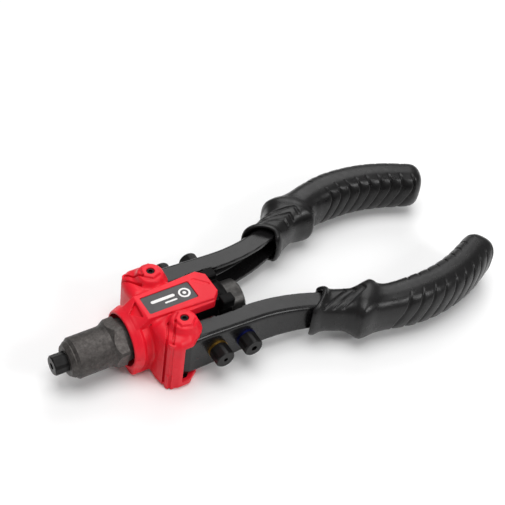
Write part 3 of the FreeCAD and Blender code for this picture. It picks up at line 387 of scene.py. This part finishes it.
def dark_steel(name, colour, low, high, metallic, specular):
    """Oxide-finished steel with faint turning marks, its roughness between low and high."""
    m = Material(name, metallic=metallic, specular=specular)
    m.colour(m.noise(3.5, 5, 0.65), shades(colour, 0.7, 1.4))
    m.roughness(m.noise(1.5, 4), low, high)
    return m.bump(m.noise(0.6, 3, stretch=(1.0, 0.25, 0.25)), 0.012).data


def moulded_black(name, base):
    """Matt black nylon."""
    m = Material(name, specular=0.06)
    m.colour(m.noise(12, 3), shades((base, base * 0.98, base), 0.8, 1.3))
    m.roughness(m.noise(2.0, 3), 0.34, 0.46)
    return m.bump(m.noise(0.7, 3), 0.02).data


def bright_metal(name, colour):
    """Plated or ground metal with fine marks."""
    m = Material(name, metallic=1.0)
    m.colour(m.noise(4.0, 4), shades(colour, 0.85, 1.1))
    m.roughness(m.noise(1.2, 3), 0.22, 0.34)
    return m.bump(m.noise(0.4, 2, stretch=(0.3, 1.0, 1.0)), 0.006).data


def anodised(name, colour):
    """Coloured aluminium of the size rings."""
    m = Material(name, metallic=0.85, specular=0.5)
    m.colour(m.noise(2.5, 3), shades(colour, 0.85, 1.15))
    return m.roughness(m.noise(1.0, 3), 0.26, 0.38).bump(m.noise(0.4, 2), 0.005).data


def printed_grey():
    """Dark film of the label."""
    m = Material("label_film", specular=0.35)
    m.colour(m.noise(6, 3), shades((0.060, 0.058, 0.060), 0.9, 1.12))
    return m.roughness(m.noise(2.0, 3), 0.42, 0.52).bump(m.noise(0.5, 2), 0.006).data


def printed_white():
    """White print on the label."""
    m = Material("label_print", specular=0.3)
    m.colour(m.noise(3, 3), shades((0.78, 0.77, 0.76), 0.94, 1.04))
    return m.roughness(m.noise(1.0, 3), 0.45, 0.55).bump(m.noise(0.3, 2), 0.004).data


FINISH = {
    "cover_red": moulded_red(), "arm_black": painted_black(), "grip_rubber": grip_rubber(),
    "barrel_steel": cast_steel(),
    "nose_steel": dark_steel("oxide_steel", (0.008, 0.0076, 0.0076), 0.32, 0.44, 0.4, 0.24),
    "sleeve_steel": dark_steel("dark_steel", (0.052, 0.050, 0.048), 0.32, 0.46, 0.75, 0.4),
    "frame_black": moulded_black("frame_black", 0.0035),
    "inner_steel": bright_metal("ground_steel", (0.42, 0.41, 0.40)),
    "bush_brass": bright_metal("bush_brass", (0.62, 0.44, 0.16)),
    "zinc": bright_metal("zinc_plate", (0.50, 0.51, 0.53)),
    "label_grey": printed_grey(),
    "ring_gold": anodised("ring_gold", (0.30, 0.17, 0.03)),
    "ring_blue": anodised("ring_blue", (0.012, 0.018, 0.13)),
    "ring_green": anodised("ring_green", (0.02, 0.12, 0.035)),
    "ring_red": anodised("ring_red", (0.24, 0.015, 0.015)),
}
print_white = printed_white()


# ------------------------------------------------------------------ moulded covers
COVER_TOP, PLATFORM_TOP, COVER_LIP, SHELL_GAP = 20.2, 22.3, 14.6, 0.03
COVER_WALL, CHEEK_ROOM, BOSS_TOP, LABEL_SEAT = 2.5, 17.4, 26.2, 20.7
RING_TOP, VALLEY_RADIUS, RING_BORE, VALLEY_BORE = 19.3, 17.9, 16.2, 15.6
FOOT_HALF_WIDTH, FOOT_DEPTH, SCREW_HEAD_SEAT = 14.9, 19.5, 18.1
WING_SCREW, TAIL_SCREW, SCREW_HOLE, SCREW_HEAD_HOLE = (62.0, 28.4), (99.5, 8.0), 1.75, 2.95
GROOVE_HALF_WIDTH, GROOVE_DEPTH, GROOVE_DEPTH_AT_SCREW, SCREW_LEVEL = 0.64, 1.55, 0.5, 16.6
WING_PLAN = [(60.4, 4.0), (60.4, 21.0), (61.1, 25.4), (62.9, 28.3), (65.6, 29.7), (71.0, 29.7), (71.0, 4.0)]
TAIL_PLAN = [(60.5, -11.6), (98.0, -11.6), (102.2, -7.2), (102.2, 7.2), (98.0, 11.6), (60.5, 11.6)]
PLATFORM_PLAN = [(56.4, -8.8), (98.1, -11.0), (102.4, -7.0), (102.4, 7.0), (98.1, 11.0), (56.4, 8.8)]
RING_PROFILE = [(45.3, 0.0), (45.3, 16.9), (49.7, 18.4), (49.7, 0.0)]
# cosine and sine of the angle by which the hexagon around each bolt hole is turned
NUT_COS, NUT_SIN = 0.951, 0.309
WING_GROOVES = [((55.6, 31.2), (65.0, 16.2)), ((58.9, 33.0), (67.6, 19.6))]
UPPER_RIM, LOWER_RIM = 5.9, 2.6


def wing_plan(x, a, inset):
    """Plan of one wing: boxy front with a well-rounded corner, and the round lobe at the bolt."""
    front = polygon(x, a, WING_PLAN) - 4.0
    lobe = np.hypot(x - 72.2, a - 21.0) - 10.4
    root = rectangle(x, a, 66.0, 82.4, 2.0, 19.5, 3.0)
    return smooth_min(smooth_min(front, lobe, 2.5), root, 2.0) + inset


def cover_field(x, y, z, upper):
    """Distance to one moulded shell of the cover, ignoring the joint between the two."""
    a, h = np.abs(y), (z if upper else -z)
    radial = np.hypot(y, z)
    wing = rounded_extrusion(wing_plan(x, a, 0.0), h - COVER_TOP, UPPER_RIM if upper else LOWER_RIM)
    ring = polygon(x, radial, RING_PROFILE) - 1.0
    valley = rectangle(x, radial, 48.0, 60.0, -VALLEY_RADIUS, VALLEY_RADIUS)
    body = smooth_min(ring, valley, 1.6)
    if not upper:
        foot_section = rectangle(y, z, -FOOT_HALF_WIDTH, FOOT_HALF_WIDTH, -FOOT_DEPTH, 8.0, 4.5)
        foot = rounded_extrusion(foot_section, np.abs(x - 50.6) - 5.9, 1.3)
        body = smooth_min(body, np.maximum(foot, z + 2.0), 2.0)
    tail = rounded_extrusion(polygon(x, y, TAIL_PLAN) - 1.0, h - COVER_TOP, 0.9)
    outside = smooth_min(smooth_min(body, wing, 1.6), tail, 0.8)
    if not upper:
        at_screw = np.hypot(x - WING_SCREW[0], a - WING_SCREW[1])
        around_screw = rounded_extrusion(at_screw - 3.7, np.abs(h - 14.0) - 6.1, 0.5)
        outside = smooth_min(outside, around_screw, 0.8)
    if upper:
        crease = rod(x, a, z, (54.0, 12.2, 20.5), (70.0, 11.2, 23.4), 3.0, 1.2)
        outside = smooth_max(outside, -crease, 1.2)
        platform = rounded_extrusion(polygon(x, y, PLATFORM_PLAN) - 0.8, h - PLATFORM_TOP, 0.7)
        rise = np.clip((x - 48.8) / 6.9, 0, 1)
        ring_height = np.sqrt(np.maximum(RING_TOP ** 2 - y * y, 100.0))
        slope = 0.88 * (z - (1 - rise) * ring_height - rise * PLATFORM_TOP)
        prow = smooth_max(smooth_max(slope, a - 9.7, 0.6), np.maximum(x - 57.5, 48.6 - x), 0.6)
        outside = smooth_min(outside, smooth_min(platform, prow, 0.5), 0.7)
        at_bolt = np.hypot(x - PIVOT_X, a - PIVOT_Y)
        dome = smooth_max((at_bolt - 9.9 + (h - 19.4) * 0.46) * 0.9, h - 24.7, 1.2)
        across, along = x - PIVOT_X - 0.3, a - PIVOT_Y - 0.4
        turn_x, turn_y = NUT_COS * across + NUT_SIN * along, NUT_COS * along - NUT_SIN * across
        nut = rounded_extrusion(hexagon(turn_x, turn_y, 10.4 + 0.36 * (BOSS_TOP - h)), h - BOSS_TOP, 0.7)
        boss = np.maximum(smooth_min(dome, nut, 0.8), 17.5 - h)
        outside = smooth_min(outside, boss, 1.8)
    for start, end in WING_GROOVES:
        depth = GROOVE_DEPTH if upper else np.where(h < SCREW_LEVEL, GROOVE_DEPTH, GROOVE_DEPTH_AT_SCREW)
        groove = np.maximum(segment(x, a, start, end) - GROOVE_HALF_WIDTH, -(outside + depth))
        if not upper:
            groove = np.maximum(groove, -(wing_plan(x, a, 0.0) + 1.6))
        outside = smooth_max(outside, -groove, 0.3)
    if upper:
        triangle = polygon(x, y, [(49.2, 0.4), (54.9, 5.3), (54.1, -5.6)]) - 0.4
        outside = smooth_max(outside, -np.maximum(triangle, -(slope + 2.2)), 0.3)
        mark = segment(x, y, (94.2, 6.2), (100.4, -0.2)) - 0.9
        outside = smooth_max(outside, -np.maximum(mark, PLATFORM_TOP - 0.55 - h), 0.5)
        seat = rectangle(x, y, 58.5, 90.5, -6.8, 6.8, 1.0)
        outside = smooth_max(outside, -np.maximum(seat, LABEL_SEAT - h), 0.25)
    return smooth_max(outside, -cover_room(x, y, z, upper), 0.3)


def cover_room(x, y, z, upper):
    """What one shell leaves free for the barrel, the head, the arms and the bolts."""
    a, h, radial = np.abs(y), (z if upper else -z), np.hypot(y, z)
    room = np.minimum(rectangle(x, radial, 40.0, 50.5, -RING_BORE, RING_BORE),
                      rectangle(x, radial, 49.0, 61.0, -VALLEY_BORE, VALLEY_BORE))
    room = np.minimum(room, rounded_extrusion(wing_plan(x, a, COVER_WALL), h - CHEEK_ROOM, 1.5))
    opening = rounded_extrusion(rectangle(x, a, 67.3, 130.0, 8.0, 60.0, 0.5), h - COVER_LIP, 0.6)
    room = np.minimum(room, opening)
    room = np.minimum(room, np.maximum(rectangle(x, a, 57.2, 106.0, -10.6, 10.6), h - CHEEK_ROOM))
    at_bolt = np.hypot(x - PIVOT_X, a - PIVOT_Y)
    if upper:
        room = np.minimum(room, at_bolt - 2.5)
        room = np.minimum(room, np.maximum(hexagon(x - PIVOT_X, a - PIVOT_Y, 11.2), h - 21.9))
    else:
        room = np.minimum(room, hexagon(x - PIVOT_X, a - PIVOT_Y, 13.7))
        for px, py in (WING_SCREW, TAIL_SCREW):
            sunk = np.hypot(x - px, a - py)
            head_room = np.maximum(sunk - SCREW_HEAD_HOLE, SCREW_HEAD_SEAT - h)
            room = np.minimum(room, np.minimum(sunk - SCREW_HOLE, head_room))
    return room


def half_shell(upper):
    """Distance field of one shell with its screw posts, ended at the joint between the two."""
    def field(x, y, z):
        shell = cover_field(x, y, z, upper)
        h = z if upper else -z
        at_screw = np.hypot(x - WING_SCREW[0], np.abs(y) - WING_SCREW[1])
        post = np.maximum(rounded_extrusion(at_screw - 3.0, h - 18.0, 0.2), SCREW_HOLE - at_screw)
        return np.maximum(np.minimum(shell, post), SHELL_GAP - h)
    return field


def square_rim(points, upper, step):
    """Bring the edge where a shell meets the joint plane to a crisp corner."""
    plane = SHELL_GAP if upper else -SHELL_GAP
    near = np.abs(points[:, 2] - plane) < 0.6 * step
    level = points[near]
    level[:, 2] = plane
    small = 0.02
    for _ in range(3):
        x, y, z = level.T
        here = cover_field(x, y, z, upper)
        slope_x = (cover_field(x + small, y, z, upper) - cover_field(x - small, y, z, upper)) / (2 * small)
        slope_y = (cover_field(x, y + small, z, upper) - cover_field(x, y - small, z, upper)) / (2 * small)
        pull = np.where(np.abs(here) < 0.75 * step, here, 0) / np.maximum(slope_x ** 2 + slope_y ** 2, 0.25)
        level[:, 0] -= pull * slope_x
        level[:, 1] -= pull * slope_y
    points[near] = level
    return points


GRID = 0.36
for name, upper in (("cover_upper", True), ("cover_lower", False)):
    low = (43.0, -35.0, -0.4) if upper else (43.0, -35.0, -21.2)
    high = (104.5, 35.0, 27.4) if upper else (104.5, 35.0, 0.6)
    points, quads = surface_mesh(half_shell(upper), low, high, GRID)
    points = square_rim(points, upper, GRID)
    add_piece(f"{name}_shell", points, quads, FINISH["cover_red"], "head", (name,))


# ------------------------------------------------------------------ rear collar
COLLAR_X, COLLAR_HALF_LENGTH, COLLAR_RADIUS, COLLAR_BORE = 107.8, 4.2, 15.3, 12.3


def collar_field(x, y, z):
    """Distance to the collar: a band round the sleeve, two lugs on top and a saddle cut between them."""
    a, radial = np.abs(y), np.hypot(y, z)
    lengthwise = np.abs(x - COLLAR_X) - COLLAR_HALF_LENGTH
    band = rounded_extrusion(radial - COLLAR_RADIUS, lengthwise, 1.2)
    lug = rounded_extrusion(rectangle(a, z, 7.6, 14.4, 10.4, 17.6, 1.2), lengthwise, 0.8)
    outside = smooth_min(band, lug, 1.0)
    saddle = np.hypot(z - 21.5, (x - 108.4) * 1.6) - 6.9
    outside = smooth_max(outside, -np.maximum(saddle, a - 6.2), 1.0)
    return smooth_max(outside, COLLAR_BORE - radial, 0.4)


points, quads = surface_mesh(collar_field, (102.4, -16.6, -16.6), (113.2, 16.6, 18.8), 0.5)
add_piece("rear_collar_ring", points, quads, FINISH["frame_black"], "head", ("rear_collar",))


# ------------------------------------------------------------------ pressed arms
def arm_field(s, u, z):
    """Distance to the pressed channel, in the arm's own coordinates along, outward and up."""
    along = arm_place(s, 0.0 * s, z)[..., 0]
    half = np.interp(along, [85.0, 180.0], [14.3, 8.5])
    relief = np.clip(np.minimum(s - 22.5, 42.5 - s), 0, 1.0)
    across = np.maximum(u - ARM_HALF_WIDTH, -ARM_HALF_WIDTH + relief - u)
    strip = np.maximum(across, np.maximum(-s, s - TANG_END))
    at_bolt = np.hypot(s, u - (PIVOT_Y - ARM_LINE_Y))
    ear = at_bolt - 10.0
    plan = smooth_min(strip, ear, 0.8)
    bend = np.where(u > 0, 3.0, 0.5)
    outside = rounded_extrusion(plan, np.abs(z) - half, bend)
    room = rounded_extrusion(u - (ARM_HALF_WIDTH - ARM_SHEET), np.abs(z) - (half - ARM_SHEET), 1.2)
    channel = smooth_max(outside, -room, 0.4)
    bolt = at_bolt - 5.5
    holes = np.minimum(np.hypot(s - 18.5, z), np.hypot(s - 38.0, z)) - 4.7
    return np.maximum(np.maximum(channel, -bolt), -np.maximum(holes, -u))


points, quads = surface_mesh(arm_field, (-11.0, -14.6, -15.5), (TANG_END + 1, 8.0, 15.5), 0.6)
add_pair("arm_channel", arm_place(points[:, 0], points[:, 1], points[:, 2]), quads, FINISH["arm_black"],
         "arm")


# ------------------------------------------------------------------ rubber grips
GRIP_STATIONS = np.array([
    # distance, half width, half height, rake
    (GRIP_START, 11.9, 14.6, 0.38), (GRIP_START + 2.5, 12.2, 15.0, 0.38),
    (GRIP_START + 7.5, 11.1, 13.2, 0.36),
    (GUARD - 13.0, 11.0, 12.8, 0.30), (GUARD - 8.0, 11.6, 13.2, 0.28), (GUARD - 4.5, 13.2, 14.4, 0.27),
    (GUARD - 1.0, 15.4, 15.7, 0.32), (GUARD + 2.5, 16.9, 16.3, 0.34), (GUARD + 5.5, 15.9, 16.0, 0.33),
    (GUARD + 9.0, 13.4, 15.2, 0.28), (GUARD + 14.0, 11.9, 14.8, 0.20), (GUARD + 23.0, 11.8, 15.2, 0.09),
    (GUARD + 34.0, 12.3, 15.9, 0.0), (GUARD + 55.0, 12.4, 16.0, 0.0), (GUARD + 82.0, 12.1, 15.5, 0.0),
    (GRIP_END, 11.5, 14.7, 0.0)])
AROUND, DOME, GRIP_POWER, DOME_POWER = 168, 9.5, 2.7, 2.4
GRIP_STEP, MOUTH_ROLL, MOUTH_HALF_WIDTH, MOUTH_HALF_HEIGHT, MOUTH_RAKE = 0.5, 2.2, 12.15, 14.95, 0.38


def smooth_curve(at, stations, values):
    """Smooth curve through the stations' values, without overshoot at a peak."""
    slopes = np.gradient(values, stations)
    rise = np.diff(values) / np.diff(stations)
    turning = np.concatenate([[True], rise[:-1] * rise[1:] <= 0, [True]])
    slopes = np.where(turning, 0.0, slopes)
    k = np.clip(np.searchsorted(stations, at) - 1, 0, len(stations) - 2)
    width = stations[k + 1] - stations[k]
    t = (at - stations[k]) / width
    return ((1 + 2 * t) * (1 - t) ** 2 * values[k] + t * (1 - t) ** 2 * width * slopes[k]
            + t * t * (3 - 2 * t) * values[k + 1] + t * t * (t - 1) * width * slopes[k + 1])


def around_section():
    """Unit section of the grip, evenly spaced along its edge, starting at the top."""
    angle = np.linspace(0, 2 * math.pi, 4001)
    power = 2 / GRIP_POWER
    u = np.sign(np.sin(angle)) * np.abs(np.sin(angle)) ** power
    w = np.sign(np.cos(angle)) * np.abs(np.cos(angle)) ** power
    length = np.concatenate([[0], np.cumsum(np.hypot(np.diff(u), np.diff(w) * 1.25))])
    at = np.linspace(0, length[-1], AROUND, endpoint=False)
    return np.interp(at, length, u), np.interp(at, length, w)


def groove(distance, half_width):
    """Round-bottomed groove, one deep at its middle."""
    return np.clip(1 - (distance / half_width) ** 2, 0, 1) ** 1.5


def fade(value, low, high):
    """Smooth rise from nought at low to one at high."""
    t = np.clip((value - low) / (high - low), 0, 1)
    return t * t * (3 - 2 * t)


def mouth_bow(ahead, u, w, half_width, half_height):
    """How far the mouth's edge stands back at the middle of its top and bottom."""
    level = fade(np.abs(w) / half_height, 0.60, 0.95) * np.clip(1 - (np.abs(u + 1.5) / half_width) ** 2, 0, 1)
    return 4.6 * level * np.exp(-(ahead / 7.0) ** 2)


def grip_relief(s, u, w, half_width, half_height):
    """How far the moulded pattern lies below the grip's plain surface."""
    side, down = np.abs(u) / half_width, np.clip((1 - w / half_height) / 2, 0, 1)
    pitch, sweep, first = 8.4, 8.0, GUARD + 26.0
    place = (s + 0.42 * u + sweep * fade(down, 0.12, 0.95) - first) / pitch
    number, share = np.floor(place), place - np.floor(place)
    on_palm = (number >= 0) & (number <= 10) & (s < GRIP_END - 6)
    edges = fade(side, 0.30, 0.52) * fade(down, -0.02, 0.03) * on_palm
    cut = groove((share - 0.5) * pitch, 0.7 + 0.5 * fade(down, 0.02, 0.15))
    depth = 0.55 + 0.85 * fade(down, 0.02, 0.18) - 0.5 * fade(down, 0.45, 1.0)
    scale = 0.45 * np.where(share > 0.5, 1 - fade(share, 0.5, 1.0), 0.0)
    relief = edges * (depth * cut + fade(down, 0.02, 0.15) * scale * (1 - cut))
    top = fade(np.abs(w) / half_height, 0.70, 0.84) * fade(9.2 - u, 0.0, 1.0) * fade(u + 9.5, 0.0, 1.5)
    for k in range(3):
        apex = GUARD + 1.0 - 5.9 * k
        leg = s - (apex - np.where(u > -4.0, 1.2 * (u + 4.0), 0.3 * (-4.0 - u)))
        relief = relief + 0.95 * top * groove(leg * 0.66, 0.75)
    return relief


def grip_mesh():
    """Points and quads of the right grip, from the inside of its mouth to the end of its dome."""
    unit_u, unit_w = around_section()
    lip, roll = [], np.linspace(0, math.pi, 10)
    for turn in roll:
        lip.append((GRIP_START + MOUTH_ROLL - 2.0 * math.sin(turn), 1.2 * (1 - math.cos(turn))))
    lip += [(GRIP_START + MOUTH_ROLL + depth, 2.4 + 0.06 * depth) for depth in (1.5, 4.0, 8.0, 13.0)]
    rings = []
    for station, inset in reversed(lip):
        mouth_w, mouth_h = MOUTH_HALF_WIDTH - inset, MOUTH_HALF_HEIGHT - inset
        u, w = unit_u * mouth_w, unit_w * mouth_h
        bow = mouth_bow(max(station - GRIP_START, 0.0), u, w, mouth_w, mouth_h)
        rings.append(arm_place(station - MOUTH_RAKE * u + bow, u, w))
    dome = GRIP_END - DOME * (1 - np.sin(np.linspace(0, math.pi / 2, 30)))[1:]
    s = np.concatenate([np.arange(GRIP_START + MOUTH_ROLL, GRIP_END - DOME, GRIP_STEP), dome[:-1]])
    distance, width, height, rake = (GRIP_STATIONS[:, k] for k in range(4))
    half_width, half_height, lean = (smooth_curve(s, distance, v) for v in (width, height, rake))
    into_dome = np.clip((s - (GRIP_END - DOME)) / DOME, 0, 1)
    scale = (1 - into_dome ** DOME_POWER) ** (1 / DOME_POWER)
    hw, hh = half_width[:, None], half_height[:, None]
    u = unit_u * (hw - DOME * (1 - scale[:, None]))
    w = unit_w * (hh - DOME * (1 - scale[:, None]))
    along = s[:, None] - lean[:, None] * u + mouth_bow(s[:, None] - GRIP_START, u, w, hw, hh)
    points = arm_place(along, u, w)
    around = np.roll(points, -1, 1) - np.roll(points, 1, 1)
    normal = np.cross(around, np.gradient(points, axis=0))
    normal /= np.maximum(np.linalg.norm(normal, axis=2, keepdims=True), 1e-9)
    outward = np.sign((normal * (points - arm_place(along, 0 * u, 0 * w))).sum(2).mean())
    points = points - outward * normal * grip_relief(along, u, w, hw, hh)[..., None]
    rings = np.concatenate([np.array(rings)[:-1], points])
    count = len(rings)
    flat = rings.reshape(-1, 3)
    caps = np.array([rings[0].mean(0), arm_place(np.array(GRIP_END), np.array(0.0), np.array(0.0))])
    flat = np.concatenate([flat, caps])
    index = np.arange(count * AROUND).reshape(count, AROUND)
    after = np.roll(index, -1, 1)
    quads = np.stack([index[:-1], after[:-1], after[1:], index[1:]], -1).reshape(-1, 4)
    faces = quads.tolist()
    for ring, cap, flip in ((index[0], len(flat) - 2, True), (index[-1], len(flat) - 1, False)):
        turned = np.roll(ring, -1)
        for a, b in zip(ring.tolist(), turned.tolist()):
            faces.append([a, cap, b] if flip else [a, b, cap])
    return flat, faces


points, faces = grip_mesh()
for side, sign in (("right", 1), ("left", -1)):
    turned = [face[::-1] for face in faces] if sign > 0 else faces
    add_piece(f"grip_rubber_{side}", points * np.array([1, sign, 1]), turned, FINISH["grip_rubber"],
              f"arm_{side}", (f"grip_{side}",), sharp=70)


# ------------------------------------------------------------------ label print
def flat_prism(outline, hole, z0, z1):
    """Thin raised print from a closed outline, with an optional hole of equal point count."""
    count = len(outline)
    if hole is None:
        points = [(x, y, z0) for x, y in outline] + [(x, y, z1) for x, y in outline]
        faces = [list(range(count))[::-1], list(range(count, 2 * count))]
        faces += [[k, (k + 1) % count, count + (k + 1) % count, count + k] for k in range(count)]
        return points, faces
    points, faces = [], []
    for row, z in ((outline, z0), (outline, z1), (hole, z1), (hole, z0)):
        points += [(x, y, z) for x, y in row]
    for level in range(4):
        a, b = level * count, (level + 1) % 4 * count
        faces += [[a + k, a + (k + 1) % count, b + (k + 1) % count, b + k] for k in range(count)]
    return points, faces


def capsule(x0, x1, y, half):
    """Outline of a bar with rounded ends."""
    turn = np.linspace(-math.pi / 2, math.pi / 2, 9)
    end = [(x1 - half + half * math.cos(t), y + half * math.sin(t)) for t in turn]
    return end + [(x0 + half - half * math.cos(t), y - half * math.sin(t)) for t in turn]


def circle(x, y, radius):
    """Outline of a circle."""
    count = 48
    return [(x + radius * math.cos(2 * math.pi * k / count), y + radius * math.sin(2 * math.pi * k / count))
            for k in range(count)]


def add_label_print():
    """A ring with a dot and two bars, which stand for no mark."""
    points, faces = [], []
    level, top = 21.68, 21.80
    ring_x, ring_y = 84.6, -0.2
    shapes = [(circle(ring_x, ring_y, 3.7), circle(ring_x, ring_y, 2.5)), (circle(ring_x, ring_y, 1.1), None),
              (capsule(63.0, 78.6, 0.9, 1.05), None), (capsule(70.5, 78.6, -2.6, 0.6), None)]
    for outline, hole in shapes:
        more, sides = flat_prism(outline, hole, level, top)
        faces += [[k + len(points) for k in side] for side in sides]
        points += more
    add_piece("label_marks", np.array(points), faces, print_white, "head", sharp=30)


add_label_print()


# ------------------------------------------------------------------ ends of the pivot bolts
def socket_stud(x, y, z0, z1):
    """Round stud with a hexagon socket in its top, closed all round."""
    radius, flats, depth, bevel, count = 2.25, 2.7, 1.3, 0.25, 24
    turns = [2 * math.pi / count * k for k in range(count)]
    reach = [flats / 2 / math.cos((turn + math.pi / 6) % (math.pi / 3) - math.pi / 6) for turn in turns]
    rows = [([radius] * count, z0), ([radius] * count, z1 - bevel), ([radius - bevel] * count, z1),
            (reach, z1), (reach, z1 - depth)]
    points = [(x + r * math.cos(turn), y + r * math.sin(turn), z)
              for row, z in rows for r, turn in zip(row, turns)]
    faces = []
    for a in range(0, 4 * count, count):
        b = a + count
        faces += [[a + k, a + (k + 1) % count, b + (k + 1) % count, b + k] for k in range(count)]
    faces += [list(range(count))[::-1], list(range(4 * count, 5 * count))]
    return np.array(points), faces


STUD_FOOT, STUD_TOP = 19.2, 25.6
for side, sign in (("right", 1), ("left", -1)):
    points, faces = socket_stud(PIVOT_X, sign * PIVOT_Y, STUD_FOOT, STUD_TOP)
    add_piece(f"pivot_stud_{side}", points, faces, FINISH["nose_steel"], "head", sharp=30)


# ------------------------------------------------------------------ finishes of the carried-over nodes
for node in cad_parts.values():
    for spot in node.material_slots:
        base = spot.material.name.split(".")[0] if spot.material else ""
        spot.material = FINISH.get(base, FINISH["inner_steel"])


# ------------------------------------------------------------------ studio
def area_light(name, place, target, size, power):
    """A round white soft light, in metres and watts."""
    light = bpy.data.lights.new(name, "AREA")
    light.shape, light.size, light.energy = "DISK", size, power
    lamp = bpy.data.objects.new(name, light)
    lamp.location = place
    lamp.rotation_euler = (Vector(target) - Vector(place)).to_track_quat("-Z", "Y").to_euler()
    bpy.context.scene.collection.objects.link(lamp)


def pale_floor():
    """Near-white matt floor."""
    m = Material("pale_floor", specular=0.2)
    m.colour(m.noise(400, 2), shades((0.90, 0.90, 0.90), 0.99, 1.01))
    return m.roughness(m.noise(50, 2), 0.65, 0.75).data


floor_mesh = bpy.data.meshes.new("studio_floor")
floor_z = cad_box[0][2] - 0.0002
span = 6.0
floor_mesh.from_pydata([(-span, -span, floor_z), (span, -span, floor_z), (span, span, floor_z),
                        (-span, span, floor_z)], [], [(0, 1, 2, 3)])
floor_mesh.materials.append(pale_floor())
studio_floor = bpy.data.objects.new("studio_floor", floor_mesh)
bpy.context.scene.collection.objects.link(studio_floor)

world = bpy.data.worlds.new("studio")
world.use_nodes = True
world.node_tree.nodes["Background"].inputs["Color"].default_value = (1.0, 1.0, 1.0, 1.0)
world.node_tree.nodes["Background"].inputs["Strength"].default_value = 0.30
bpy.context.scene.world = world
bpy.context.scene.view_settings.view_transform = "Standard"

middle = (0.13, 0.0, 0.0)
area_light("overhead", (0.06, -0.04, 1.15), middle, 1.0, 10.0)
area_light("behind", (0.62, 0.66, 0.80), middle, 0.8, 3.8)
area_light("camera_side", (0.52, -0.78, 0.62), middle, 0.38, 3.3)

# in front of the nose, on the left arm's side and above; metres, then degrees about X, Y and Z
CAMERA_PLACE, CAMERA_ANGLES = (-0.18260, -0.39899, 0.53581), (45.0016, -6.3413, -31.7925)
CAMERA_LENS = 85.54
camera_data = bpy.data.cameras.new("camera")
camera_data.sensor_fit, camera_data.sensor_width = "HORIZONTAL", 36.0
camera_data.lens = CAMERA_LENS
camera_data.clip_start, camera_data.clip_end = 0.01, 50.0
camera = bpy.data.objects.new("camera", camera_data)
camera_turn = Euler([math.radians(angle) for angle in CAMERA_ANGLES], "XYZ")
camera.matrix_world = Matrix.Translation(CAMERA_PLACE) @ camera_turn.to_matrix().to_4x4()
bpy.context.scene.collection.objects.link(camera)
bpy.context.scene.camera = camera
